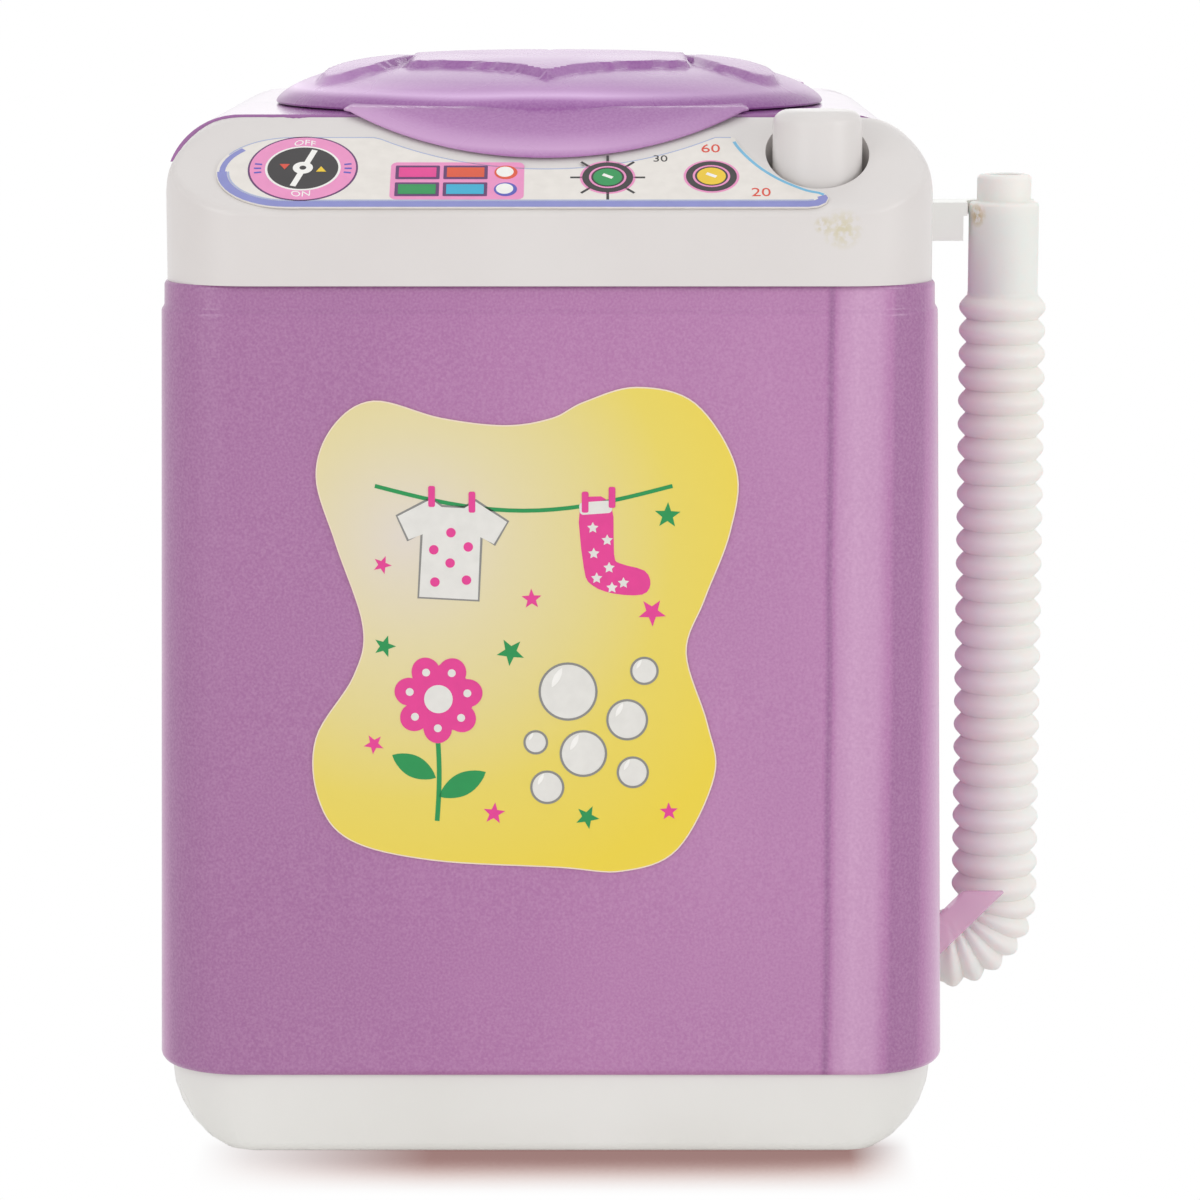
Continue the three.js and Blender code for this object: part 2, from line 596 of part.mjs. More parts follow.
function baseTray() {
  const outer = baseOuter();
  const hollow = straightBody(
    BASE_HALF_WIDTH - WALL, BASE_HALF_DEPTH - WALL, CORNER_RADIUS - WALL, BASE_FLOOR, BASE_HEIGHT + OVERRUN)
    .intersect(baseOuter().translate([0, 0, WALL]).add(
      straightBody(BASE_HALF_WIDTH, BASE_HALF_DEPTH, CORNER_RADIUS, BASE_HEIGHT, BASE_HEIGHT + OVERRUN)));
  const lipInset = SHELL_BOTTOM_HALF_WIDTH - WALL - GAP;
  const lipDepth = SHELL_BOTTOM_HALF_DEPTH - WALL - GAP;
  const lipHalf = Math.min(lipInset, BASE_HALF_WIDTH) - SHELL_DRAFT * BASE_LIP / SHELL_HEIGHT;
  const lipHalfDepth = Math.min(lipDepth, BASE_HALF_DEPTH) - SHELL_DRAFT * BASE_LIP / SHELL_HEIGHT;
  const lip = cut(
    straightBody(lipHalf, lipHalfDepth, CORNER_RADIUS - WALL, BASE_HEIGHT - WALL, BASE_HEIGHT + BASE_LIP),
    straightBody(lipHalf - LIP_WALL, lipHalfDepth - LIP_WALL, CORNER_RADIUS - WALL - LIP_WALL,
      BASE_HEIGHT - WALL - OVERRUN, BASE_HEIGHT + BASE_LIP + OVERRUN));
  const boxOuter = block(
    [-BOX_HALF_LENGTH - BOX_WALL, BOX_FRONT_Y - BOX_WALL, BASE_FLOOR / 2],
    [BOX_HALF_LENGTH + BOX_WALL, BOX_REAR_Y + BOX_WALL, BOX_TOP_Z + BOX_WALL]);
  const boxInner = block(
    [-BOX_HALF_LENGTH, BOX_FRONT_Y, -OVERRUN], [BOX_HALF_LENGTH, BOX_REAR_Y, BOX_TOP_Z]);
  const door = doorOutline(GAP);
  const slide = block(
    [-door.half, door.front, RAIL_THICKNESS],
    [door.half, BASE_HALF_DEPTH + OVERRUN, DOOR_BOTTOM_Z + DOOR_THICKNESS + GAP]);
  const pullRoom = block(
    [-door.half, BASE_HALF_DEPTH - WALL - GAP, RAIL_THICKNESS],
    [door.half, BASE_HALF_DEPTH + OVERRUN, DOOR_BOTTOM_Z + DOOR_PULL_HEIGHT + GAP]);
  const bosses = mirrored((sideX) => mirrored((sideY) => (
    rod(BOSS_RADIUS, BASE_FLOOR / 2, BASE_BOSS_TOP_Z, [sideX * BOSS_X, sideY * BOSS_Y], SMALL_STEPS))));
  const holes = mirrored((sideX) => mirrored((sideY) => join(
    rod(SCREW_RADIUS + GAP, -OVERRUN, BASE_BOSS_TOP_Z + OVERRUN, [sideX * BOSS_X, sideY * BOSS_Y], SMALL_STEPS),
    rod(SCREW_HEAD_RADIUS + GAP, -OVERRUN, BASE_SCREW_RECESS + SCREW_HEAD + GAP,
      [sideX * BOSS_X, sideY * BOSS_Y], SMALL_STEPS))));
  const leadHoles = [CELL_FIRST_Y, CELL_FIRST_Y + LEAD_HOLE_2_PAST].map((y) => lay(
    rod(LEAD_RADIUS + GAP, BOX_HALF_LENGTH - OVERRUN, BOX_HALF_LENGTH + BOX_WALL + OVERRUN, [0, 0], SMALL_STEPS),
    y, LEAD_HOLE_Z));
  return cut(
    join(cut(outer, hollow), lip, boxOuter, bosses),
    boxInner, slide, pullRoom, holes, portHole, ...leadHoles);
}

function batteryDoor() {
  const door = doorOutline(0);
  const plateTop = DOOR_BOTTOM_Z + DOOR_THICKNESS;
  const pullTop = DOOR_BOTTOM_Z + DOOR_PULL_HEIGHT;
  const plate = prism([
    [door.front, DOOR_BOTTOM_Z], [door.rear, DOOR_BOTTOM_Z], [door.rear, pullTop],
    [door.rear - WALL, pullTop], [door.rear - WALL, plateTop], [door.front, plateTop],
  ], -door.half, door.half, 'x');
  const grips = [];
  for (let i = 0; i < DOOR_GRIP_COUNT; i += 1) {
    const y = door.rear - WALL - (i + 1) * DOOR_GRIP_PITCH;
    grips.push(block(
      [-BOX_HALF_LENGTH / 3, y - DOOR_GRIP_PITCH / 4, DOOR_BOTTOM_Z - DOOR_GRIP],
      [BOX_HALF_LENGTH / 3, y + DOOR_GRIP_PITCH / 4, DOOR_BOTTOM_Z + DOOR_GRIP]));
  }
  return join(plate, ...grips);
}

// Top cover: the plan outline, the front outline with round shoulders, and the side profile together
function shoulderOutline(halfWidth, radius, low, high, x = 0) {
  const outline = [[x + halfWidth, low]];
  for (const [side, quarter] of [[1, 0], [-1, 1]]) {
    for (let i = 0; i <= CORNER_STEPS; i += 1) {
      const angle = (quarter + i / CORNER_STEPS) * QUARTER;
      outline.push([
        x + side * (halfWidth - radius) + radius * Math.cos(angle),
        high - radius + radius * Math.sin(angle),
      ]);
    }
  }
  outline.push([x - halfWidth, low]);
  return outline;
}

// The panel's plane at a height above it, from the front face to a given y.
function panelZ(y, lift) {
  return FRONT_TOP_Z + (y + COVER_HALF_DEPTH) * Math.tan(PANEL_SLOPE) + lift / Math.cos(PANEL_SLOPE);
}

function coverOuter() {
  const far = 2 * COVER_HALF_WIDTH;
  const plan = straightBody(COVER_HALF_WIDTH, COVER_HALF_DEPTH, CORNER_RADIUS, SHELL_TOP_Z, DECK_TOP_Z);
  const front = prism(
    shoulderOutline(COVER_HALF_WIDTH, COVER_SHOULDER, SHELL_TOP_Z - OVERRUN, DECK_TOP_Z), -far, far, 'y');
  const side = prism([
    [-COVER_HALF_DEPTH - OVERRUN, SHELL_TOP_Z - OVERRUN],
    [far, SHELL_TOP_Z - OVERRUN],
    [far, COVER_SIDE_TOP_Z],
    [PANEL_TOP_Y, COVER_SIDE_TOP_Z],
    [PANEL_TOP_Y, DECK_TOP_Z],
    [-COVER_HALF_DEPTH - OVERRUN, panelZ(-COVER_HALF_DEPTH - OVERRUN, 0)],
  ], -far, far, 'x');
  return plan.intersect(front).intersect(side);
}

function coverInner() {
  const far = 2 * COVER_HALF_WIDTH;
  const plan = straightBody(
    COVER_HALF_WIDTH - WALL, COVER_HALF_DEPTH - WALL, CORNER_RADIUS - WALL,
    SHELL_TOP_Z - OVERRUN, DECK_TOP_Z + OVERRUN);
  const front = prism(
    shoulderOutline(COVER_HALF_WIDTH - WALL, COVER_SHOULDER - WALL, SHELL_TOP_Z - OVERRUN, DECK_TOP_Z),
    -far, far, 'y');
  const side = prism([
    [-COVER_HALF_DEPTH - OVERRUN, SHELL_TOP_Z - OVERRUN],
    [far, SHELL_TOP_Z - OVERRUN],
    [far, DECK_TOP_Z + OVERRUN],
    [PANEL_TOP_Y + OVERRUN, DECK_TOP_Z + OVERRUN],
    [PANEL_TOP_Y + OVERRUN, panelZ(PANEL_TOP_Y + OVERRUN, -WALL)],
    [-COVER_HALF_DEPTH - OVERRUN, panelZ(-COVER_HALF_DEPTH - OVERRUN, -WALL)],
  ], -far, far, 'x');
  const openTop = straightBody(
    COVER_HALF_WIDTH - WALL, COVER_HALF_DEPTH - WALL, CORNER_RADIUS - WALL,
    COVER_SIDE_TOP_Z - DECK_LIP, DECK_TOP_Z + OVERRUN)
    .intersect(block([-far, PANEL_TOP_Y + OVERRUN, SHELL_TOP_Z], [far, far, 2 * DECK_TOP_Z]));
  return plan.intersect(front).intersect(side).add(openTop);
}

function topCover() {
  const far = 2 * COVER_HALF_WIDTH;
  const innerShellHalf = SHELL_BOTTOM_HALF_WIDTH - SHELL_DRAFT - WALL - GAP;
  const innerShellDepth = SHELL_BOTTOM_HALF_DEPTH - SHELL_DRAFT - WALL - GAP;
  const lip = cut(
    straightBody(innerShellHalf, innerShellDepth, CORNER_RADIUS - WALL - GAP,
      SHELL_TOP_Z - COVER_LIP, SHELL_TOP_Z + WALL),
    straightBody(innerShellHalf - LIP_WALL, innerShellDepth - LIP_WALL, CORNER_RADIUS - WALL - GAP - LIP_WALL,
      SHELL_TOP_Z - COVER_LIP - OVERRUN, SHELL_TOP_Z + WALL + OVERRUN));
  const abovePanel = prism([
    [-far, panelZ(-far, -WALL / 2)], [far, panelZ(far, -WALL / 2)],
    [far, 2 * DECK_TOP_Z], [-far, 2 * DECK_TOP_Z],
  ], -far, far, 'x');
  const place = [BUTTON_X, BUTTON_Y];
  const guide = pipe(GUIDE_RADIUS, WELL_RADIUS, GUIDE_BOTTOM_Z, DECK_TOP_Z, place);
  const legX = CARRIER_HALF_WIDTH - CARRIER_WALL;
  const leg = (side) => block(
    [BUTTON_X + Math.min(side * legX, side * CARRIER_HALF_WIDTH), BUTTON_Y - CARRIER_HALF_DEPTH, CARRIER_BOTTOM_Z],
    [BUTTON_X + Math.max(side * legX, side * CARRIER_HALF_WIDTH), BUTTON_Y + CARRIER_HALF_DEPTH, DECK_TOP_Z]);
  const shelf = block(
    [BUTTON_X - CARRIER_HALF_WIDTH, BUTTON_Y - CARRIER_HALF_DEPTH, CARRIER_BOTTOM_Z],
    [BUTTON_X + CARRIER_HALF_WIDTH, BUTTON_Y + CARRIER_HALF_DEPTH, CARRIER_BOTTOM_Z + CARRIER_WALL]);
  const carrier = cut(join(guide, mirrored(leg), shelf), abovePanel)
    .intersect(block([-far, -far, 0], [far, PANEL_TOP_Y, 2 * DECK_TOP_Z]));
  const well = rod(WELL_RADIUS, GUIDE_BOTTOM_Z - OVERRUN, DECK_TOP_Z + OVERRUN, place);
  const pegHole = block(
    [COVER_HALF_WIDTH - WALL - OVERRUN, -HOOK_PEG_HALF - GAP, hookPegLow() - GAP],
    [COVER_HALF_WIDTH + OVERRUN, HOOK_PEG_HALF + GAP, hookPegLow() + 2 * HOOK_PEG_HALF + GAP]);
  return cut(join(cut(coverOuter(), coverInner()), lip, carrier), well, pegHole);
}

function topDeck() {
  const far = 2 * COVER_HALF_WIDTH;
  const x = DECK_SEAT_SHIFT;
  const frontY = PANEL_TOP_Y + GAP;
  const behindPanel = block([-far, frontY, 0], [far, far, 2 * DECK_TOP_Z]);
  const outer = straightBody(COVER_HALF_WIDTH, COVER_HALF_DEPTH, CORNER_RADIUS, DECK_BOTTOM_Z, DECK_TOP_Z, x)
    .intersect(prism(
      shoulderOutline(COVER_HALF_WIDTH, COVER_SHOULDER, DECK_TOP_Z - 2 * COVER_SHOULDER, DECK_TOP_Z, x),
      -far, far, 'y'))
    .intersect(behindPanel);
  const inner = straightBody(
    COVER_HALF_WIDTH - DECK_WALL, COVER_HALF_DEPTH - DECK_WALL, CORNER_RADIUS - DECK_WALL,
    DECK_BOTTOM_Z - OVERRUN, DECK_TOP_Z - DECK_WALL, x)
    .intersect(prism(shoulderOutline(
      COVER_HALF_WIDTH - DECK_WALL, COVER_SHOULDER - DECK_WALL, DECK_TOP_Z - 2 * COVER_SHOULDER,
      DECK_TOP_Z - DECK_WALL, x), -far, far, 'y'));
  const lipHalf = COVER_HALF_WIDTH - WALL - GAP + DECK_SEAT_SHIFT;
  const lipDepth = COVER_HALF_DEPTH - WALL - GAP;
  const lip = cut(
    straightBody(lipHalf, lipDepth, CORNER_RADIUS - WALL - GAP,
      DECK_BOTTOM_Z - DECK_LIP + GAP, DECK_BOTTOM_Z + LIP_WALL, x),
    straightBody(lipHalf - LIP_WALL, lipDepth - LIP_WALL, CORNER_RADIUS - WALL - GAP - LIP_WALL,
      DECK_BOTTOM_Z - DECK_LIP - OVERRUN, DECK_BOTTOM_Z + LIP_WALL + OVERRUN, x))
    .intersect(block([-far, frontY + WALL, 0], [far, far, DECK_TOP_Z]));
  const lidCentre = [LID_X, LID_Y];
  const collar = pipe(COLLAR_RADIUS + COLLAR_WALL, COLLAR_RADIUS, TUB_RIM_Z + GAP, DECK_TOP_Z - DECK_WALL / 2,
    lidCentre);
  const mouth = rod(COLLAR_RADIUS, DECK_BOTTOM_Z - OVERRUN, DECK_TOP_Z + OVERRUN, lidCentre);
  const screwPlaces = tubScrewPlaces();
  const bosses = screwPlaces.map((place) => (
    rod(TUB_BOSS_RADIUS, TUB_RIM_Z + GAP, DECK_TOP_Z - DECK_WALL / 2, place, SMALL_STEPS)));
  const pilots = screwPlaces.map((place) => (
    rod(SCREW_RADIUS + GAP, TUB_RIM_Z, TUB_RIM_Z + SCREW_GRIP + GAP, place, SMALL_STEPS)));
  // The console behind the lid carries the hinge ears
  const console = cut(
    roundedBody(CONSOLE_HALF_WIDTH, (CONSOLE_REAR_Y - CONSOLE_FRONT_Y) / 2, CONSOLE_RADIUS,
      [[DECK_TOP_Z - DECK_WALL / 2, 0, 0], [DECK_TOP_Z + CONSOLE_RISE, 0, 0]])
      .translate([0, (CONSOLE_REAR_Y + CONSOLE_FRONT_Y) / 2, 0]),
    rod(LID_RADIUS + GAP, DECK_TOP_Z, DECK_TOP_Z + 2 * CONSOLE_RISE, lidCentre),
    block([-HINGE_RECESS_HALF, HINGE_RECESS_Y, DECK_TOP_Z],
      [HINGE_RECESS_HALF, CONSOLE_REAR_Y + OVERRUN, DECK_TOP_Z + 2 * CONSOLE_RISE]));
  const ear = (side) => {
    const near = HINGE_BARREL_HALF + GAP;
    const [low, high] = [side * near, side * (near + HINGE_EAR)].sort((a, b) => a - b);
    return join(
      lay(rod(HINGE_EAR_RADIUS, low, high, [0, 0], SMALL_STEPS), HINGE_Y, HINGE_Z),
      block([low, HINGE_Y - HINGE_EAR_RADIUS, DECK_TOP_Z - DECK_WALL / 2],
        [high, HINGE_Y + HINGE_EAR_RADIUS, HINGE_Z]));
  };
  const earHole = lay(
    rod(HINGE_PIN_RADIUS + GAP, -CONSOLE_HALF_WIDTH, CONSOLE_HALF_WIDTH, [0, 0], SMALL_STEPS), HINGE_Y, HINGE_Z);
  const plate = cut(join(cut(outer, inner), lip, collar, ...bosses), mouth, ...pilots);
  return cut(join(plate, console, mirrored(ear)), earHole);
}

function tubScrewPlaces() {
  return TUB_SCREW_ANGLES.map((degrees) => {
    const angle = THREE.MathUtils.degToRad(degrees);
    return [LID_X + TUB_SCREW_RING * Math.cos(angle), LID_Y + TUB_SCREW_RING * Math.sin(angle)];
  });
}

// Lid: a domed shell with a tab that follows the panel, relief on top and the hinge barrel behind
function domeProfile(radius, rise, low) {
  return LID_DOME_SHARES.map(([r, h]) => [radius * r, low + rise * h]);
}

function lid() {
  const centre = [LID_X, LID_Y];
  const far = 2 * LID_RADIUS;
  const outer = turned([[0, LID_BOTTOM_Z], ...domeProfile(LID_RADIUS, LID_RISE, LID_BOTTOM_Z)], centre);
  const inner = turned([
    [0, LID_BOTTOM_Z - OVERRUN], [LID_RADIUS - LID_WALL, LID_BOTTOM_Z - OVERRUN],
    ...domeProfile(LID_RADIUS - LID_WALL, LID_RISE - LID_WALL, LID_BOTTOM_Z),
  ], centre);
  const skinAbove = cut(outer.translate([0, 0, RELIEF]), outer);
  const heartSide = HEART_SHARES.map(([a, b]) => [HEART_HALF_WIDTH * a, HEART_LENGTH * b]);
  const heartBack = heartSide.slice(1, -1).reverse().map(([a, b]) => [-a, b]);
  const heart = prism([...heartSide, ...heartBack].map(([a, b]) => [LID_X + a, LID_Y + b]),
    LID_BOTTOM_Z, LID_BOTTOM_Z + 2 * LID_RISE);
  const petals = mirrored((side) => (
    rod(PETAL_HALF_LENGTH, LID_BOTTOM_Z, LID_BOTTOM_Z + 2 * LID_RISE, [0, 0], SMALL_STEPS)
      .scale([PETAL_HALF_WIDTH / PETAL_HALF_LENGTH, 1, 1])
      .rotate([0, 0, side * PETAL_TILT])
      .translate([LID_X + side * PETAL_OFFSET, LID_Y, 0])));
  const relief = skinAbove.intersect(join(heart, petals));
  const slabTop = GAP + TAB_THICKNESS;
  const bendY = PANEL_TOP_Y;
  const bent = prism([
    [TAB_ROOT_Y, LID_BOTTOM_Z],
    [bendY, LID_BOTTOM_Z],
    [-far, LID_BOTTOM_Z + (-far - bendY) * Math.tan(PANEL_SLOPE)],
    [-far, LID_BOTTOM_Z + TAB_THICKNESS + (-far - bendY) * Math.tan(PANEL_SLOPE)],
    [bendY, DECK_TOP_Z + slabTop],
    [TAB_ROOT_Y, DECK_TOP_Z + slabTop],
  ], -far, far, 'x');
  const tabPlan = rod(TAB_RADIUS, 0, 2 * DECK_TOP_Z, [LID_X, TAB_RADIUS - TAB_REACH], 2 * ROUND_STEPS)
    .intersect(block(
      [LID_X - TAB_HALF_WIDTH, -far, 0], [LID_X + TAB_HALF_WIDTH, TAB_ROOT_Y, 2 * DECK_TOP_Z]));
  const tab = bent.intersect(tabPlan);
  const barrel = lay(rod(HINGE_BARREL_RADIUS, -HINGE_BARREL_HALF, HINGE_BARREL_HALF, [0, 0], SMALL_STEPS),
    HINGE_Y, HINGE_Z);
  const pinHalf = HINGE_BARREL_HALF + GAP + HINGE_EAR;
  const pins = lay(rod(HINGE_PIN_RADIUS, -pinHalf, pinHalf, [0, 0], SMALL_STEPS), HINGE_Y, HINGE_Z);
  const arm = (side) => {
    const x = side * HINGE_ARM_X;
    return prism([
      [LID_Y + LID_RADIUS - 2 * LID_WALL, LID_BOTTOM_Z],
      [HINGE_Y, HINGE_Z - HINGE_BARREL_RADIUS],
      [HINGE_Y, HINGE_Z + HINGE_BARREL_RADIUS / 2],
      [LID_Y + LID_RADIUS - 2 * LID_WALL, LID_BOTTOM_Z + 2 * LID_WALL],
    ], x - HINGE_ARM_HALF, x + HINGE_ARM_HALF, 'x');
  };
  return join(cut(join(outer, relief, tab, mirrored(arm)), inner), barrel, pins);
}

// Wash tub with its flange, drain nipple and the two bosses for the motor bracket
function bracketBossPlaces() {
  const reach = MOTOR_HALF_FLAT + GAP + BRACKET_THICKNESS + BRACKET_FOOT / 2;
  return [[LID_X, LID_Y - reach], [LID_X, LID_Y + reach]];
}

function washTub() {
  const centre = [LID_X, LID_Y];
  const wall = turned([
    [0, TUB_BOTTOM_Z],
    [TUB_FLOOR_RADIUS + TUB_WALL, TUB_BOTTOM_Z],
    [TUB_MOUTH_RADIUS + TUB_WALL, TUB_RIM_Z - TUB_FLANGE],
    [TUB_FLANGE_RADIUS, TUB_RIM_Z - TUB_FLANGE],
    [TUB_FLANGE_RADIUS, TUB_RIM_Z],
    [TUB_MOUTH_RADIUS, TUB_RIM_Z],
    [TUB_FLOOR_RADIUS, TUB_FLOOR_Z],
    [0, TUB_FLOOR_Z],
  ], centre);
  const drainPlace = [DRAIN_X, 0];
  const nipple = rod(NIPPLE_RADIUS, TUB_BOTTOM_Z - NIPPLE_LENGTH, TUB_BOTTOM_Z + TUB_FLOOR / 2, drainPlace,
    SMALL_STEPS);
  const bosses = bracketBossPlaces().map((place) => (
    rod(BRACKET_BOSS_RADIUS, TUB_BOTTOM_Z - BRACKET_DROP, TUB_BOTTOM_Z + TUB_FLOOR / 2, place, SMALL_STEPS)));
  const pilots = bracketBossPlaces().map((place) => (
    rod(SCREW_RADIUS + GAP, TUB_BOTTOM_Z - BRACKET_DROP - OVERRUN, TUB_BOTTOM_Z + GAP, place, SMALL_STEPS)));
  const flangeHoles = tubScrewPlaces().map((place) => (
    rod(SCREW_RADIUS + GAP, TUB_RIM_Z - TUB_FLANGE - OVERRUN, TUB_RIM_Z + OVERRUN, place, SMALL_STEPS)));
  return cut(
    join(wall, nipple, ...bosses),
    ...pilots, ...flangeHoles,
    rod(NIPPLE_BORE_RADIUS, TUB_BOTTOM_Z - NIPPLE_LENGTH - OVERRUN, TUB_FLOOR_Z + OVERRUN, drainPlace, SMALL_STEPS),
    rod(SEAL_RADIUS + GAP, TUB_BOTTOM_Z - OVERRUN, TUB_FLOOR_Z + OVERRUN, centre, SMALL_STEPS * 2));
}

function pulsator() {
  const centre = [LID_X, LID_Y];
  const low = TUB_FLOOR_Z + SEAL_FLANGE + 2 * GAP;
  const disc = rod(PULSATOR_RADIUS, low, low + PULSATOR_THICKNESS, centre);
  const hub = rod(PULSATOR_HUB_RADIUS, low, PULSATOR_HUB_TOP_Z, centre, SMALL_STEPS * 2);
  const fins = [];
  for (let i = 0; i < FIN_COUNT; i += 1) {
    fins.push(prism([
      [0, low], [PULSATOR_RADIUS, low], [PULSATOR_RADIUS, low + PULSATOR_THICKNESS],
      [PULSATOR_HUB_RADIUS, low + PULSATOR_THICKNESS + FIN_HEIGHT], [0, low + PULSATOR_THICKNESS + FIN_HEIGHT],
    ], -FIN_WIDTH / 2, FIN_WIDTH / 2, 'y')
      .rotate([0, 0, i * 360 / FIN_COUNT])
      .translate([LID_X, LID_Y, 0]));
  }
  return cut(
    join(disc, hub, ...fins),
    rod(SHAFT_RADIUS + GAP, low - OVERRUN, PULSATOR_HUB_TOP_Z + OVERRUN, centre, SMALL_STEPS));
}

function pulsatorCap() {
  const centre = [LID_X, LID_Y];
  return turned([
    [0, SHAFT_TOP_Z + GAP],
    [SHAFT_RADIUS, SHAFT_TOP_Z + GAP],
    [SHAFT_RADIUS, PULSATOR_HUB_TOP_Z + GAP],
    [PULSATOR_HUB_RADIUS - OVERRUN, PULSATOR_HUB_TOP_Z + GAP],
    [PULSATOR_HUB_RADIUS - OVERRUN, PULSATOR_HUB_TOP_Z + GAP + SCREW_HEAD / 2],
    [PULSATOR_HUB_RADIUS / 2, PULSATOR_HUB_TOP_Z + GAP + SCREW_HEAD],
    [0, PULSATOR_HUB_TOP_Z + GAP + SCREW_HEAD],
  ], centre, SMALL_STEPS * 2);
}

function shaftSeal() {
  const centre = [LID_X, LID_Y];
  return turned([
    [SHAFT_RADIUS + GAP, TUB_BOTTOM_Z],
    [SEAL_RADIUS, TUB_BOTTOM_Z],
    [SEAL_RADIUS, TUB_FLOOR_Z + GAP],
    [SEAL_FLANGE_RADIUS, TUB_FLOOR_Z + GAP],
    [SEAL_FLANGE_RADIUS, TUB_FLOOR_Z + GAP + SEAL_FLANGE],
    [SHAFT_RADIUS + GAP, TUB_FLOOR_Z + GAP + SEAL_FLANGE],
  ], centre, SMALL_STEPS);
}

// Motor: a can with two flats, its end cap, and a strap under it
function motorOutline(inset) {
  const radius = MOTOR_RADIUS - inset;
  const half = MOTOR_HALF_FLAT - inset;
  const start = Math.asin(half / radius);
  const outline = [];
  for (const turn of [0, Math.PI]) {
    for (let i = 0; i <= CORNER_STEPS; i += 1) {
      const angle = turn - start + (i / CORNER_STEPS) * 2 * start;
      outline.push([LID_X + radius * Math.cos(angle), LID_Y + radius * Math.sin(angle)]);
    }
  }
  return outline;
}

function motorCan() {
  const centre = [LID_X, LID_Y];
  return cut(
    join(
      prism(motorOutline(0), MOTOR_BOTTOM_Z, MOTOR_TOP_Z),
      rod(MOTOR_NOSE_RADIUS, MOTOR_TOP_Z - OVERRUN, MOTOR_TOP_Z + MOTOR_NOSE, centre, SMALL_STEPS)),
    rod(SHAFT_RADIUS + GAP, MOTOR_BOTTOM_Z - OVERRUN, MOTOR_TOP_Z + MOTOR_NOSE + OVERRUN, centre, SMALL_STEPS));
}

function motorBracket() {
  const inner = MOTOR_HALF_FLAT + GAP;
  const outer = inner + BRACKET_THICKNESS;
  const footTop = TUB_BOTTOM_Z - BRACKET_DROP - GAP;
  const low = MOTOR_BOTTOM_Z - GAP - END_CAP_HEIGHT - GAP - BRACKET_THICKNESS;
  const half = BRACKET_HALF_WIDTH;
  const outline = [
    [-outer, low], [outer, low],
    [outer, footTop - BRACKET_THICKNESS], [outer + BRACKET_FOOT, footTop - BRACKET_THICKNESS],
    [outer + BRACKET_FOOT, footTop], [inner, footTop], [inner, low + BRACKET_THICKNESS],
    [-inner, low + BRACKET_THICKNESS], [-inner, footTop], [-outer - BRACKET_FOOT, footTop],
    [-outer - BRACKET_FOOT, footTop - BRACKET_THICKNESS], [-outer, footTop - BRACKET_THICKNESS],
  ].map(([y, z]) => [LID_Y + y, z]);
  const holes = bracketBossPlaces().map((place) => (
    rod(SCREW_RADIUS + GAP, footTop - BRACKET_THICKNESS - OVERRUN, footTop + OVERRUN, place, SMALL_STEPS)));
  return cut(prism(outline, LID_X - half, LID_X + half, 'x'), ...holes);
}

// A pan-head screw that points up: its head lies under headTop.
function screw([x, y], headTop, length) {
  return turned([
    [0, headTop - SCREW_HEAD],
    [SCREW_HEAD_RADIUS, headTop - SCREW_HEAD],
    [SCREW_HEAD_RADIUS, headTop],
    [SCREW_RADIUS, headTop],
    [SCREW_RADIUS, headTop + length],
    [0, headTop + length],
  ], [x, y], SMALL_STEPS);
}

// An open coil about an upright axis, as one unbroken tube, with its least gap to itself printed.
const COIL_STEPS = 8;
const COIL_SIDES = 5;
function coil(name, lowRadius, highRadius, wire, low, high, turns) {
  const rings = [];
  const centres = [];
  const count = turns * COIL_STEPS;
  for (let i = 0; i <= count; i += 1) {
    const share = i / count;
    const angle = share * turns * 2 * Math.PI;
    const radius = THREE.MathUtils.lerp(lowRadius, highRadius, share) - wire;
    const z = THREE.MathUtils.lerp(low + wire, high - wire, share);
    const ring = [];
    for (let k = 0; k < COIL_SIDES; k += 1) {
      const around = (k / COIL_SIDES) * 2 * Math.PI;
      const reach = radius + wire * Math.cos(around);
      ring.push([reach * Math.cos(angle), reach * Math.sin(angle), z + wire * Math.sin(around)]);
    }
    rings.push(ring);
    centres.push(new THREE.Vector3(radius * Math.cos(angle), radius * Math.sin(angle), z));
  }
  let least = Infinity;
  for (let i = 0; i < centres.length; i += 1) {
    for (let k = i + COIL_STEPS / 2; k < centres.length; k += 1) {
      least = Math.min(least, centres[i].distanceTo(centres[k]) - 2 * wire);
    }
  }
  process.stdout.write(`${name}: least gap to itself ${least.toFixed(2)} mm\n`);
  return solid(skin(rings));
}

function powerButton() {
  const place = [BUTTON_X, BUTTON_Y];
  return turned([
    [0, BUTTON_FLANGE_BOTTOM_Z - BUTTON_STEM],
    [BUTTON_STEM_RADIUS, BUTTON_FLANGE_BOTTOM_Z - BUTTON_STEM],
    [BUTTON_STEM_RADIUS, BUTTON_FLANGE_BOTTOM_Z],
    [BUTTON_FLANGE_RADIUS, BUTTON_FLANGE_BOTTOM_Z],
    [BUTTON_FLANGE_RADIUS, BUTTON_FLANGE_TOP_Z],
    [BUTTON_RADIUS, BUTTON_FLANGE_TOP_Z],
    [BUTTON_RADIUS, BUTTON_TOP_Z - BUTTON_EDGE],
    [BUTTON_RADIUS - BUTTON_EDGE / 4, BUTTON_TOP_Z - BUTTON_EDGE / 3],
    [BUTTON_RADIUS - BUTTON_EDGE, BUTTON_TOP_Z],
    [0, BUTTON_TOP_Z],
  ], place);
}

function switchBody() {
  return join(
    block(
      [BUTTON_X - SWITCH_HALF_WIDTH, BUTTON_Y - SWITCH_HALF_DEPTH, SWITCH_BOTTOM_Z],
      [BUTTON_X + SWITCH_HALF_WIDTH, BUTTON_Y + SWITCH_HALF_DEPTH, SWITCH_TOP_Z]),
    rod(SWITCH_DOME_RADIUS, SWITCH_TOP_Z - OVERRUN, SWITCH_TOP_Z + SWITCH_DOME, [BUTTON_X, BUTTON_Y],
      SMALL_STEPS));
}

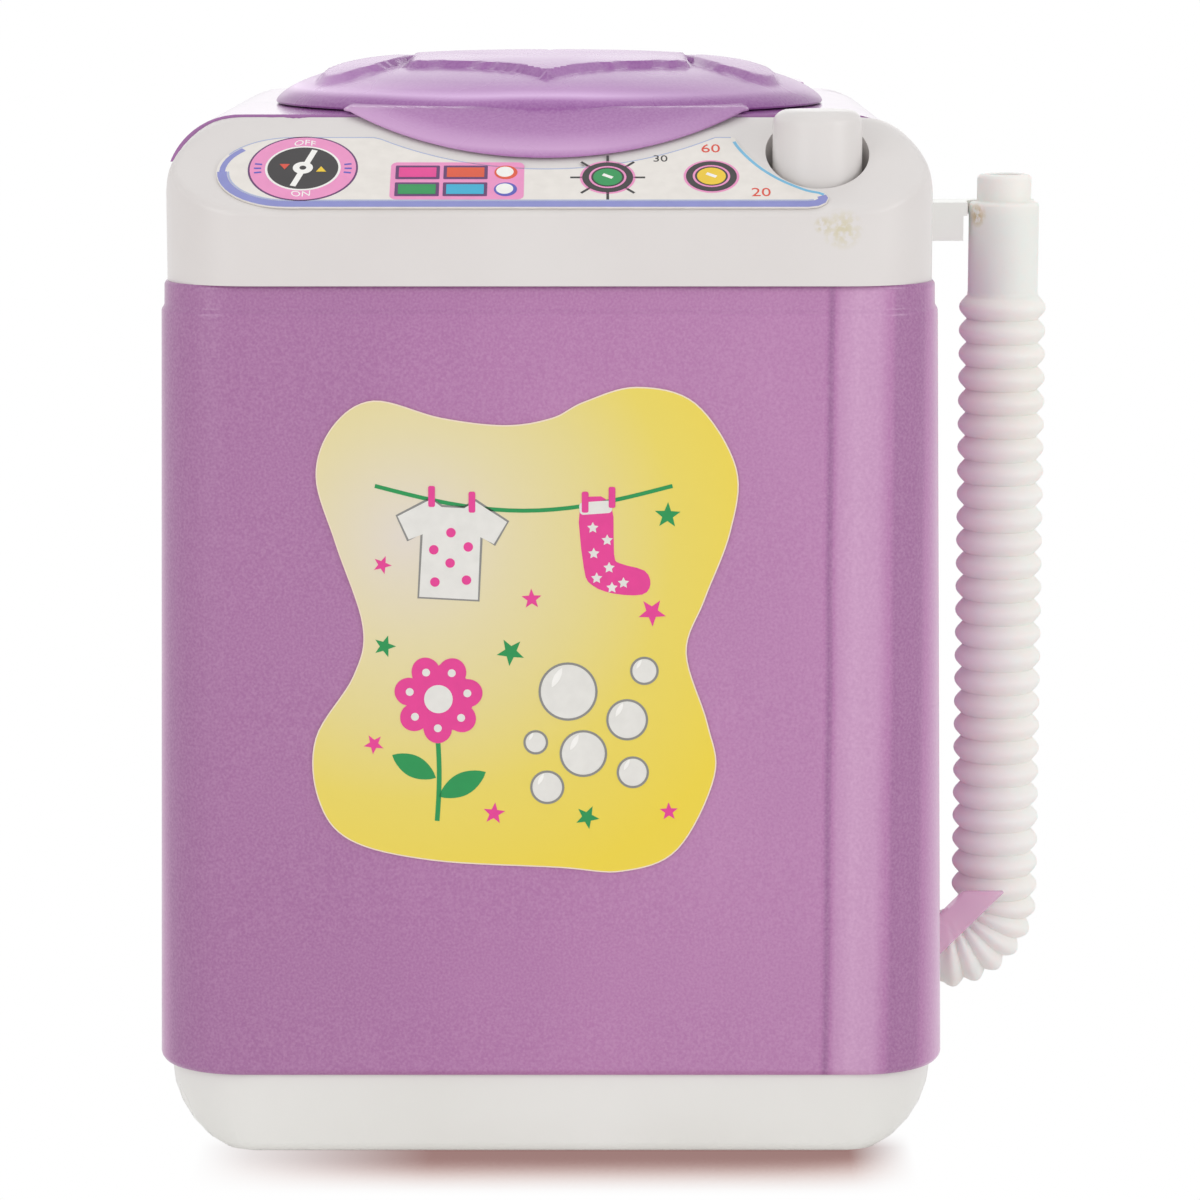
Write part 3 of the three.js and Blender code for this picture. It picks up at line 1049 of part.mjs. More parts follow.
// Cells lie along X, side by side, and point opposite ways
function cell(index) {
  const y = CELL_FIRST_Y + index * CELL_PITCH;
  const half = CELL_LENGTH / 2;
  const upright = turned([
    [0, -half], [CELL_RADIUS, -half], [CELL_RADIUS, half], [CELL_NUB_RADIUS, half],
    [CELL_NUB_RADIUS, half + CELL_NUB], [0, half + CELL_NUB],
  ]);
  return lay(index ? upright.rotate([180, 0, 0]) : upright, y, CELL_Z);
}

// The plate at a cell's end: the side is +1 for the right end.
function contactPlate(index, side) {
  const y = CELL_FIRST_Y + index * CELL_PITCH;
  const outer = BOX_HALF_LENGTH - GAP;
  const [low, high] = [side * (outer - CONTACT_THICKNESS), side * outer].sort((a, b) => a - b);
  return block([low, y - CONTACT_HALF_WIDTH, CELL_Z - CONTACT_HALF_HEIGHT],
    [high, y + CONTACT_HALF_WIDTH, CELL_Z + CONTACT_HALF_HEIGHT]);
}

function contactSpring(index, side) {
  const y = CELL_FIRST_Y + index * CELL_PITCH;
  const near = CELL_LENGTH / 2 + GAP;
  const far = BOX_HALF_LENGTH - 2 * GAP - CONTACT_THICKNESS;
  const upright = coil(`contact spring ${index + 1}`, CONTACT_SPRING_RADIUS / 2, CONTACT_SPRING_RADIUS,
    CONTACT_SPRING_WIRE, near, far, CONTACT_SPRING_TURNS);
  return lay(side > 0 ? upright : upright.rotate([180, 0, 0]), y, CELL_Z);
}

// Hose: rings along a centreline that leaves the port, turns upwards and runs straight up
function hoseRing(travel, radius) {
  const bend = HOSE_BEND * QUARTER;
  const angle = THREE.MathUtils.clamp(travel / HOSE_BEND, 0, QUARTER);
  const outward = [Math.sin(angle), -Math.cos(angle)];
  const x = BEND_X + HOSE_BEND * outward[0] + Math.min(travel, 0);
  const z = BEND_TOP_Z + HOSE_BEND * outward[1] + Math.max(travel - bend, 0);
  const ring = [];
  for (let k = 0; k < HOSE_SIDES; k += 1) {
    const around = (k / HOSE_SIDES) * 2 * Math.PI;
    const reach = radius * Math.cos(around);
    ring.push([x + reach * outward[0], radius * Math.sin(around), z + reach * outward[1]]);
  }
  return ring;
}

// Travel along the hose of a place at a height on its upright run.
function upright(z) {
  return HOSE_BEND * QUARTER + z - BEND_TOP_Z;
}

function hoseElbow() {
  const cuffStart = -HOSE_CUFF;
  const bend = HOSE_BEND * QUARTER;
  const step = bend / HOSE_BEND_RIBS;
  const end = upright(HOSE_SPLIT_Z) - GAP / 2;
  const rings = [hoseRing(cuffStart, HOSE_VALLEY_RADIUS), hoseRing(0, HOSE_VALLEY_RADIUS)];
  const bore = [hoseRing(cuffStart, HOSE_BORE_RADIUS), hoseRing(0, HOSE_BORE_RADIUS)];
  for (let rib = 0; rib < HOSE_BEND_RIBS; rib += 1) {
    rings.push(hoseRing((rib + 0.5) * step, HOSE_CREST_RADIUS), hoseRing((rib + 1) * step, HOSE_VALLEY_RADIUS));
    if (rib % 2) bore.push(hoseRing((rib + 1) * step, HOSE_BORE_RADIUS));
  }
  for (let rib = 0; rib < HOSE_LOW_RIBS; rib += 1) {
    const last = rib === HOSE_LOW_RIBS - 1;
    rings.push(
      hoseRing(bend + (rib + 0.5) * HOSE_PITCH, HOSE_CREST_RADIUS),
      hoseRing(last ? end : bend + (rib + 1) * HOSE_PITCH, HOSE_VALLEY_RADIUS));
  }
  bore.push(hoseRing(end, HOSE_BORE_RADIUS));
  return solid(skin(rings, bore));
}

function hoseUpper() {
  const start = upright(HOSE_SPLIT_Z) + GAP / 2;
  const ribBase = HOSE_BEND * QUARTER;
  const top = upright(NOZZLE_TOP_Z);
  const plainTop = upright(HOSE_PLAIN_TOP_Z);
  const rings = [hoseRing(start, HOSE_VALLEY_RADIUS)];
  const bore = [hoseRing(start, HOSE_BORE_RADIUS)];
  for (let rib = HOSE_LOW_RIBS; rib < HOSE_RIBS; rib += 1) {
    rings.push(
      hoseRing(ribBase + (rib + 0.5) * HOSE_PITCH, HOSE_CREST_RADIUS),
      hoseRing(ribBase + (rib + 1) * HOSE_PITCH, HOSE_VALLEY_RADIUS));
    if (rib % HOSE_BORE_EVERY === 0) bore.push(hoseRing(ribBase + (rib + 1) * HOSE_PITCH, HOSE_BORE_RADIUS));
  }
  rings.push(
    hoseRing(plainTop, HOSE_PLAIN_RADIUS),
    hoseRing(plainTop + SHOULDER, NOZZLE_RADIUS),
    hoseRing(top - NOZZLE_EDGE, NOZZLE_RADIUS),
    hoseRing(top, NOZZLE_RADIUS - NOZZLE_EDGE));
  bore.push(
    hoseRing(plainTop - SHOULDER, HOSE_BORE_RADIUS),
    hoseRing(plainTop, NOZZLE_BORE_RADIUS),
    hoseRing(top, NOZZLE_BORE_RADIUS));
  return solid(skin(rings, bore));
}

function drainPipe() {
  const topZ = TUB_BOTTOM_Z - GAP;
  const rings = (radius) => {
    const list = [];
    const ringAt = (x, z, outX, outZ) => {
      const ring = [];
      for (let k = 0; k < HOSE_SIDES; k += 1) {
        const around = (k / HOSE_SIDES) * 2 * Math.PI;
        const reach = radius * Math.cos(around);
        ring.push([x + reach * outX, radius * Math.sin(around), z + reach * outZ]);
      }
      list.push(ring);
    };
    ringAt(DRAIN_X, topZ, -1, 0);
    for (let i = 0; i <= DRAIN_STEPS; i += 1) {
      const angle = (i / DRAIN_STEPS) * QUARTER;
      ringAt(DRAIN_X + DRAIN_BEND * (1 - Math.cos(angle)), PORT_Z + DRAIN_BEND * (1 - Math.sin(angle)),
        -Math.cos(angle), -Math.sin(angle));
    }
    ringAt(DRAIN_END_X, PORT_Z, 0, -1);
    return list;
  };
  return solid(skin(rings(DRAIN_RADIUS), rings(DRAIN_BORE_RADIUS)));
}

// Hook: a leg on the cover's right wall, a peg through it, and a plate that cradles the hose from behind
function hookPegLow() {
  return HOOK_LEG_BOTTOM_Z + HOOK_PEG_HALF / 2;
}

function hoseHook() {
  const wallX = COVER_HALF_WIDTH + GAP;
  const plateLow = HOOK_TOP_Z - HOOK_PLATE;
  const seat = HOSE_PLAIN_RADIUS + GAP;
  const leg = block([wallX, -HOOK_HALF_WIDTH, HOOK_LEG_BOTTOM_Z], [HOOK_LEG_END_X, HOOK_HALF_WIDTH, HOOK_TOP_Z]);
  const arm = block([wallX, -HOOK_HALF_WIDTH, plateLow],
    [HOSE_X - seat, seat, HOOK_TOP_Z]);
  const endAngle = THREE.MathUtils.degToRad(HOOK_CRADLE_END);
  const far = 2 * seat;
  const ring = cut(
    pipe(seat + HOOK_CRADLE_WALL, seat, plateLow, HOOK_TOP_Z, [HOSE_X, 0]),
    prism([[HOSE_X, 0], [HOSE_X - far, 0], [HOSE_X - far, -far], [HOSE_X + far, -far],
      [HOSE_X + far * Math.cos(endAngle), far * Math.sin(endAngle)]],
    plateLow - OVERRUN, HOOK_TOP_Z + OVERRUN));
  const peg = block([wallX - HOOK_PEG, -HOOK_PEG_HALF, hookPegLow()],
    [wallX + OVERRUN, HOOK_PEG_HALF, hookPegLow() + 2 * HOOK_PEG_HALF]);
  const tail = prism([
    [wallX, HOOK_LEG_BOTTOM_Z + OVERRUN], [wallX + HOOK_TAIL_WIDTH, HOOK_LEG_BOTTOM_Z + OVERRUN],
    [wallX + HOOK_TAIL_WIDTH, HOOK_LEG_BOTTOM_Z], [wallX + HOOK_TAIL_WIDTH / 2, SHELL_TOP_Z + GAP],
    [wallX, SHELL_TOP_Z + GAP],
  ], -HOOK_HALF_WIDTH / 2, HOOK_HALF_WIDTH / 2, 'y');
  const seatRound = rod(seat, plateLow - OVERRUN, HOOK_TOP_Z + OVERRUN, [HOSE_X, 0]);
  return join(cut(join(leg, arm), seatRound), ring, peg, tail);
}

// Stickers
function frontSticker() {
  const points = FRONT_STICKER_SHARES.map(([a, b]) => (
    new THREE.Vector3(FRONT_STICKER_WIDTH * a, FRONT_STICKER_HEIGHT * b, 0)));
  const outline = new THREE.CatmullRomCurve3(points, true).getPoints(FRONT_STICKER_STEPS).slice(0, -1);
  const lean = Math.atan2(SHELL_DRAFT, SHELL_HEIGHT) * THREE.MathUtils.RAD2DEG;
  const faceY = -SHELL_BOTTOM_HALF_DEPTH + SHELL_DRAFT * (FRONT_STICKER_Z - BASE_HEIGHT) / SHELL_HEIGHT;
  return prism(outline.map((p) => [p.x, p.y]), -LABEL_THICKNESS, 0, 'y')
    .rotate([-lean, 0, 0])
    .translate([FRONT_STICKER_X, faceY - LABEL_GAP, FRONT_STICKER_Z]);
}

// The panel sticker in the panel's own plane: x, and the length up the slope from its front edge.
function panelStickerOutline() {
  const tan = Math.tan(PANEL_SLOPE);
  const up = (y) => (y + COVER_HALF_DEPTH) * Math.sqrt(1 + tan * tan);
  const outline = [];
  const radius = PANEL_STICKER_END_RADIUS;
  const middle = PANEL_STICKER_LOW + radius;
  for (let i = 0; i <= PANEL_STICKER_STEPS; i += 1) {
    const angle = QUARTER + (i / PANEL_STICKER_STEPS) * 2 * QUARTER;
    outline.push([PANEL_STICKER_LEFT_X + radius * Math.cos(angle), middle + radius * Math.sin(angle)]);
  }
  outline.push([PANEL_STICKER_RIGHT_X - PANEL_STICKER_TIP, PANEL_STICKER_LOW]);
  outline.push([PANEL_STICKER_RIGHT_X, PANEL_STICKER_LOW + PANEL_STICKER_TIP]);
  const wellRadius = WELL_RADIUS + PANEL_STICKER_WELL_MARGIN;
  const tabRadius = TAB_RADIUS + PANEL_STICKER_TAB_MARGIN;
  const tabY = TAB_RADIUS - TAB_REACH;
  for (const degrees of PANEL_STICKER_WELL_ANGLES) {
    const angle = THREE.MathUtils.degToRad(degrees);
    outline.push([BUTTON_X + wellRadius * Math.cos(angle), up(BUTTON_Y + wellRadius * Math.sin(angle))]);
  }
  for (let i = 0; i <= 2 * PANEL_STICKER_STEPS; i += 1) {
    const share = i / (2 * PANEL_STICKER_STEPS);
    const x = THREE.MathUtils.lerp(BUTTON_X - wellRadius - PANEL_STICKER_TAB_MARGIN, LID_X - TAB_HALF_WIDTH, share);
    const y = tabY - Math.sqrt(tabRadius ** 2 - (x - LID_X) ** 2);
    outline.push([x, Math.min(up(y), middle + radius)]);
  }
  return outline;
}

function panelSticker() {
  return prism(panelStickerOutline(), 0, LABEL_THICKNESS)
    .rotate([THREE.MathUtils.radToDeg(PANEL_SLOPE), 0, 0])
    .translate([0, -COVER_HALF_DEPTH - LABEL_GAP * Math.sin(PANEL_SLOPE),
      FRONT_TOP_Z + LABEL_GAP * Math.cos(PANEL_SLOPE)]);
}

function placed([x, y, z]) {
  return [x * SHELL_BOTTOM_HALF_WIDTH, y * SHELL_BOTTOM_HALF_DEPTH, z];
}

// Leads: round tubes along smooth curves between their terminals
function lead(points) {
  const curve = new THREE.CatmullRomCurve3(points.map((p) => new THREE.Vector3(...p)));
  const section = new THREE.Shape();
  for (let k = 0; k < LEAD_SIDES; k += 1) {
    const around = (k / LEAD_SIDES) * 2 * Math.PI;
    const place = [LEAD_RADIUS * Math.cos(around), LEAD_RADIUS * Math.sin(around)];
    if (k === 0) section.moveTo(...place);
    else section.lineTo(...place);
  }
  return solid(new THREE.ExtrudeGeometry(section, { steps: LEAD_STEPS, extrudePath: curve }));
}

addPart('base_tray', baseTray(), WHITE);
addPart('battery_door', batteryDoor(), WHITE);
addPart('body_shell', bodyShell(), PURPLE);
addPart('top_cover', topCover(), WHITE);
addPart('top_deck', topDeck(), PURPLE);
addPart('lid', lid(), PURPLE);
addPart('wash_tub', washTub(), WHITE);
addPart('pulsator', pulsator(), WHITE);
addPart('pulsator_cap', pulsatorCap(), WHITE);
addPart('shaft_seal', shaftSeal(), DARK);
addPart('motor_shaft', rod(SHAFT_RADIUS, SHAFT_BOTTOM_Z, SHAFT_TOP_Z, [LID_X, LID_Y], SMALL_STEPS), STEEL);
addPart('motor_can', motorCan(), STEEL);
addPart('motor_end_cap', prism(motorOutline(END_CAP_INSET), MOTOR_BOTTOM_Z - GAP - END_CAP_HEIGHT,
  MOTOR_BOTTOM_Z - GAP), WHITE);
addPart('motor_bracket', motorBracket(), STEEL);
bracketBossPlaces().forEach((place, i) => {
  const headTop = TUB_BOTTOM_Z - BRACKET_DROP - 2 * GAP - BRACKET_THICKNESS;
  addPart(`bracket_screw_${i + 1}`, screw(place, headTop, SCREW_GRIP), STEEL);
});
tubScrewPlaces().forEach((place, i) => {
  addPart(`tub_screw_${i + 1}`, screw(place, TUB_RIM_Z - TUB_FLANGE - GAP, TUB_FLANGE + GAP + SCREW_GRIP), STEEL);
});
[[-1, -1], [1, -1], [-1, 1], [1, 1]].forEach(([sideX, sideY], i) => {
  addPart(`base_screw_${i + 1}`,
    screw([sideX * BOSS_X, sideY * BOSS_Y], BASE_SCREW_RECESS + SCREW_HEAD, BASE_SCREW_LENGTH), STEEL);
});
addPart('power_button', powerButton(), WHITE);
addPart('button_spring', coil('button spring', BUTTON_SPRING_RADIUS, BUTTON_SPRING_RADIUS, BUTTON_SPRING_WIRE,
  SWITCH_TOP_Z + GAP, BUTTON_FLANGE_BOTTOM_Z - GAP, BUTTON_SPRING_TURNS)
  .translate([BUTTON_X, BUTTON_Y, 0]), STEEL);
addPart('switch_body', switchBody(), DARK);
[0, 1].forEach((index) => {
  const nubSide = index ? -1 : 1;
  addPart(`battery_${index + 1}`, cell(index), DARK);
  addPart(`contact_plate_${index + 1}`, contactPlate(index, nubSide), STEEL);
  addPart(`spring_plate_${index + 1}`, contactPlate(index, -nubSide), STEEL);
  addPart(`contact_spring_${index + 1}`, contactSpring(index, -nubSide), STEEL);
});
addPart('drain_pipe', drainPipe(), HOSE_WHITE);
addPart('hose_elbow', hoseElbow(), HOSE_WHITE);
addPart('hose_upper', hoseUpper(), HOSE_WHITE);
addPart('hose_hook', hoseHook(), WHITE);
for (const [name, route] of Object.entries(LEAD_ROUTES)) {
  addPart(name, lead(route.map(placed)), name === 'lead_motor_to_battery' ? DARK : RED);
}
addPart('front_sticker', frontSticker(), CREAM);
addPart('panel_sticker', panelSticker(), WHITE);

export default object;
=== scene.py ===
"""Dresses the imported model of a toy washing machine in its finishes, light and camera."""

from __future__ import annotations

import logging
import math
from dataclasses import dataclass
from enum import Enum
from typing import Callable, Sequence

import bmesh  # noqa: E402
import bpy  # noqa: E402
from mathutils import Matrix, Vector  # noqa: E402


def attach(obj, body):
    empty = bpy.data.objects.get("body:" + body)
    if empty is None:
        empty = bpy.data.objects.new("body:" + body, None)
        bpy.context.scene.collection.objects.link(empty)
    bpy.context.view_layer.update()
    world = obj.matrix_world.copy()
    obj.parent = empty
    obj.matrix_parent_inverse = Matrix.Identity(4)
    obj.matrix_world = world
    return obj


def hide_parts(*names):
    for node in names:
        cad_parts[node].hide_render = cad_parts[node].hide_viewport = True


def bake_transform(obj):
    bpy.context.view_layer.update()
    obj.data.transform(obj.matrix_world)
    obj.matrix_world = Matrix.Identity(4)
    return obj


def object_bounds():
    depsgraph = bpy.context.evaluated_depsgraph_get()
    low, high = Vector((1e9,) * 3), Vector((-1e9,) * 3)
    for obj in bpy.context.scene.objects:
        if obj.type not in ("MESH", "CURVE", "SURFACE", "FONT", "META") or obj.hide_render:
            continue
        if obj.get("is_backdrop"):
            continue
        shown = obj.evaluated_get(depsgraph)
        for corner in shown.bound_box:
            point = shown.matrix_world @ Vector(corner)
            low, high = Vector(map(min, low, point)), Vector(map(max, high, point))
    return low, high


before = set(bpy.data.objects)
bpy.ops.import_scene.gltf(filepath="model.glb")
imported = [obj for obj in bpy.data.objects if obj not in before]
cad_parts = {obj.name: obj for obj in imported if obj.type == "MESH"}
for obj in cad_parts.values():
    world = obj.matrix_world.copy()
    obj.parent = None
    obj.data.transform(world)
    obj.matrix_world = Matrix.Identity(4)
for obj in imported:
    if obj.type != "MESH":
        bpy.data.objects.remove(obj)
CAD_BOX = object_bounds()

LOG = logging.getLogger("toy_washer")
MM = 0.001
QUARTER = math.pi / 2

Point = tuple[float, float, float]
Plan = tuple[float, float]
Colour = tuple[int, int, int]
Height = Callable[[float, float], float]
Place = Callable[[float, float, float], Point]
Socket = bpy.types.NodeSocket
Piece = bpy.types.Object
MADE: dict[str, bpy.types.Material] = {}


class Body(Enum):
    """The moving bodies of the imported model."""

    CABINET = "cabinet"
    LID = "lid"
    BUTTON = "button"
    AGITATOR = "agitator"
    DOOR = "door"
    HOSE = "hose"


class Carve(Enum):
    """How one solid works on another."""

    CUT = "DIFFERENCE"
    ADD = "UNION"
    KEEP = "INTERSECT"


def tint(colour: Colour) -> tuple[float, ...]:
    """Turns screen values from 0 to 255 into a linear colour with an alpha of 1."""
    shares = [value / 255 for value in colour]
    return (*(s / 12.92 if s <= 0.04045 else ((s + 0.055) / 1.055) ** 2.4 for s in shares), 1.0)


# Finishes


class NodeSheet:
    """Writes the nodes of one material or of the world."""

    def __init__(self, tree: bpy.types.NodeTree) -> None:
        """Starts on a node tree."""
        self.tree = tree

    def fill(self, node: bpy.types.Node, inputs: dict[str | int, object]) -> bpy.types.Node:
        """Links sockets to a node's inputs, or sets plain values there.

        Args:
            node: the node.
            inputs: sockets and values by the input's name or number.

        Returns:
            The node.
        """
        for key, value in inputs.items():
            if isinstance(value, Socket):
                self.tree.links.new(value, node.inputs[key])
            else:
                node.inputs[key].default_value = value
        return node

    def add(self, kind: str, output: str | int, inputs: dict[str | int, object], **values: object) -> Socket:
        """Adds a node.

        Args:
            kind: its type, without the leading ShaderNode.
            output: the name or number of the output that is wanted.
            inputs: sockets and values by the input's name or number.
            values: its properties.

        Returns:
            The output.
        """
        node = self.tree.nodes.new("ShaderNode" + kind)
        for key, value in values.items():
            setattr(node, key, value)
        return self.fill(node, inputs).outputs[output]

    def calc(self, operation: str, *values: object) -> Socket:
        """Works out a value from sockets and numbers."""
        return self.add("Math", 0, dict(enumerate(values)), operation=operation)

    def place(self) -> Socket:
        """Returns the object's own coordinates, in metres."""
        return self.add("TexCoord", "Object", {})

    def along(self, axis: str) -> Socket:
        """Returns the object's own X, Y or Z, in metres."""
        return self.add("SeparateXYZ", axis, {0: self.place()})

    def away(self, centre: Point, source: Socket) -> Socket:
        """Returns how far a source is from a place that is given in millimetres."""
        return self.add("VectorMath", 1, {0: source, 1: [value * MM for value in centre]}, operation="DISTANCE")

    def noise(self, scale: float, detail: float = 3.0, stretch: Point = (1, 1, 1)) -> Socket:
        """Adds a noise pattern with so many patches to the metre."""
        mapped = self.add("Mapping", 0, {"Vector": self.place(), "Scale": stretch})
        return self.add("TexNoise", "Fac", {"Vector": mapped, "Scale": scale, "Detail": detail})

    def spread(self, source: Socket, low: float, high: float, start: float = 0.3, end: float = 0.7) -> Socket:
        """Maps a value from between start and end to between low and high."""
        limits = {"From Min": start, "From Max": end, "To Min": low, "To Max": high}
        return self.add("MapRange", "Result", {"Value": source, **limits})

    def mix(self, share: Socket, first: Socket | Colour, second: Socket | Colour) -> Socket:
        """Mixes two colours by the share of the second."""
        one, two = (value if isinstance(value, Socket) else tint(value) for value in (first, second))
        return self.add("Mix", 2, {"Factor": share, 6: one, 7: two}, data_type="RGBA")

    def band(self, source: Socket, stops: Sequence[tuple[float, Colour]]) -> Socket:
        """Colours a value by stops.

        Args:
            source: the value from 0 to 1.
            stops: places and their screen colours.

        Returns:
            The colour.
        """
        colour = self.add("ValToRGB", "Color", {"Fac": source})
        elements = colour.node.color_ramp.elements
        while len(elements) < len(stops):
            elements.new(1.0)
        for element, (place, shade) in zip(elements, stops):
            element.position = place
            element.color = tint(shade)
        return colour

    def specks(self, scale: float, size: float, rarity: float) -> Socket:
        """Scatters small round specks.

        Args:
            scale: cells to the metre.
            size: a speck's radius as a share of its cell.
            rarity: the share of the cells with no speck.

        Returns:
            1 in a speck and 0 elsewhere.
        """
        cell = self.add("TexVoronoi", "Distance", {"Vector": self.place(), "Scale": scale})
        pick = self.add("SeparateColor", 0, {0: cell.node.outputs["Color"]})
        return self.calc("MULTIPLY", self.calc("LESS_THAN", cell, size), self.calc("GREATER_THAN", pick, rarity))

    def stain(self, centre: Point, radius: float) -> Socket:
        """Marks a small ragged stain at a place and with a reach in millimetres."""
        near = self.spread(self.away(centre, self.place()), 1, 0, 0.2 * radius * MM, radius * MM)
        return self.calc("MULTIPLY", near, self.spread(self.noise(1500), 0, 1, 0.38, 0.54))

    def relief(self, source: Socket, depth: float) -> Socket:
        """Turns a fine pattern with a depth in metres into a normal."""
        return self.add("Bump", "Normal", {"Height": source, "Strength": 1.0, "Distance": depth})

    def surface(self, colour: Socket | tuple[float, ...], roughness: Socket | float, **values: object) -> None:
        """Gives the shader its colour, its roughness and further values by their names."""
        named = {key.replace("_", " "): value for key, value in values.items()}
        self.fill(self.tree.nodes["Principled BSDF"], {"Base Color": colour, "Roughness": roughness, **named})


@dataclass(frozen=True)
class Finish:
    """A finish, whose material is made once."""

    name: str

    def material(self) -> bpy.types.Material:
        """Makes the material once.

        Returns:
            The material.
        """
        if self.name not in MADE:
            MADE[self.name] = bpy.data.materials.new(self.name)
            MADE[self.name].use_nodes = True
            self.paint(NodeSheet(MADE[self.name].node_tree))
        return MADE[self.name]

    def paint(self, sheet: NodeSheet) -> None:
        """Leaves the nodes to each finish."""
        raise NotImplementedError


@dataclass(frozen=True)
class Plastic(Finish):
    """A moulded plastic with soft patches in its colour."""

    light: Colour
    dark: Colour
    speck: Colour = (120, 90, 70)
    roughness: float = 0.32
    coat: float = 0.0
    under: float = 0.0
    patches: float = 45.0
    grain: float = 0.000003
    alpha: float = 1.0
    stains: tuple[tuple[Point, float, Colour], ...] = ()
    rarity: float = 0.93
    speck_size: float = 0.06

    def paint(self, sheet: NodeSheet) -> None:
        """Writes the finish's nodes.

        Args:
            sheet: the material's nodes.
        """
        base = sheet.mix(sheet.spread(sheet.noise(self.patches), 0, 1), self.dark, self.light)
        for centre, radius, colour in self.stains:
            base = sheet.mix(sheet.stain(centre, radius), base, colour)
        sheet.surface(
            sheet.mix(sheet.specks(260, self.speck_size, self.rarity), base, self.speck),
            sheet.spread(sheet.noise(90, 2), self.roughness * 0.85, self.roughness * 1.15),
            Normal=sheet.relief(sheet.noise(2600, 1), self.grain), Alpha=self.alpha,
            Coat_Weight=self.coat, Coat_Roughness=0.12, Subsurface_Weight=self.under,
            Subsurface_Scale=0.0012, Subsurface_Radius=(1.0, 0.6, 0.6))


@dataclass(frozen=True)
class Pearl(Finish):
    """The shell's pearly plastic, with upright bands of painted highlight and painted shade beside its corners,
    partly pigment flow, and painted shade just under the cover's seam.
    """

    light: Colour = (185, 124, 175)
    dark: Colour = (165, 104, 158)
    # colour of the painted shade in the dark bands and under the seam
    shade: Colour = (148, 92, 143)
    # colour of the painted highlight in the light bands
    sheen: Colour = (216, 172, 208)
    glint: Colour = (222, 182, 214)
    speck: Colour = (74, 40, 66)
    reach: float = 42.15
    seam: float = 92.6
    # bands of painted highlight and painted shade across the front, partly pigment flow: light rims at both
    # sides, dark bands, a light strip and a dark crease where the front turns into each corner
    flow_and_light_bands: tuple[tuple[float, int], ...] = (
        (0.0, 176), (0.012, 150), (0.03, 92), (0.08, 102), (0.25, 112), (0.36, 127), (0.6, 132), (0.848, 140),
        (0.857, 66), (0.866, 160), (0.888, 182), (0.916, 172), (0.938, 94), (0.972, 98), (0.99, 160), (1.0, 180))

    def paint(self, sheet: NodeSheet) -> None:
        """Writes the finish's nodes.

        Args:
            sheet: the material's nodes.
        """
        edge, seam = self.reach * MM, self.seam * MM
        cloud = sheet.mix(sheet.spread(sheet.noise(24, 4, (1, 1, 0.45)), 0, 1), self.dark, self.light)
        # painted highlight and painted shade laid in upright bands along X, wavered a little
        waver = sheet.calc("MULTIPLY_ADD", sheet.noise(14, 2, (0.2, 0.2, 1)), 0.0016, sheet.along("X"))
        bands = sheet.band(sheet.spread(waver, 0, 1, -edge, edge), [(x, (grey,) * 3) for x, grey in self.flow_and_light_bands])
        level = sheet.add("SeparateColor", 0, {0: bands})
        # painted shade darkens the dark bands, and painted highlight lightens the light bands
        colour = sheet.mix(sheet.spread(level, 1, 0, 0.09, 0.21), cloud, self.shade)
        colour = sheet.mix(sheet.spread(level, 0, 1, 0.23, 0.56), colour, self.sheen)
        # painted shade just under the cover's seam, darkest toward the seam
        under = sheet.spread(sheet.along("Z"), 0, 0.45, seam - 0.7 * MM, seam - 0.3 * MM)
        colour = sheet.mix(under, colour, self.shade)
        colour = sheet.mix(sheet.spread(sheet.noise(3600, 1), 0, 0.2), colour, self.glint)
        colour = sheet.mix(sheet.spread(sheet.noise(3100, 1), 0, 0.22), colour, self.dark)
        sheet.surface(
            sheet.mix(sheet.specks(170, 0.03, 0.985), colour, self.speck),
            sheet.spread(sheet.noise(90, 2), 0.3, 0.35),
            Normal=sheet.relief(sheet.noise(3000, 1), 0.000004), Coat_Weight=0.25, Coat_Roughness=0.14)


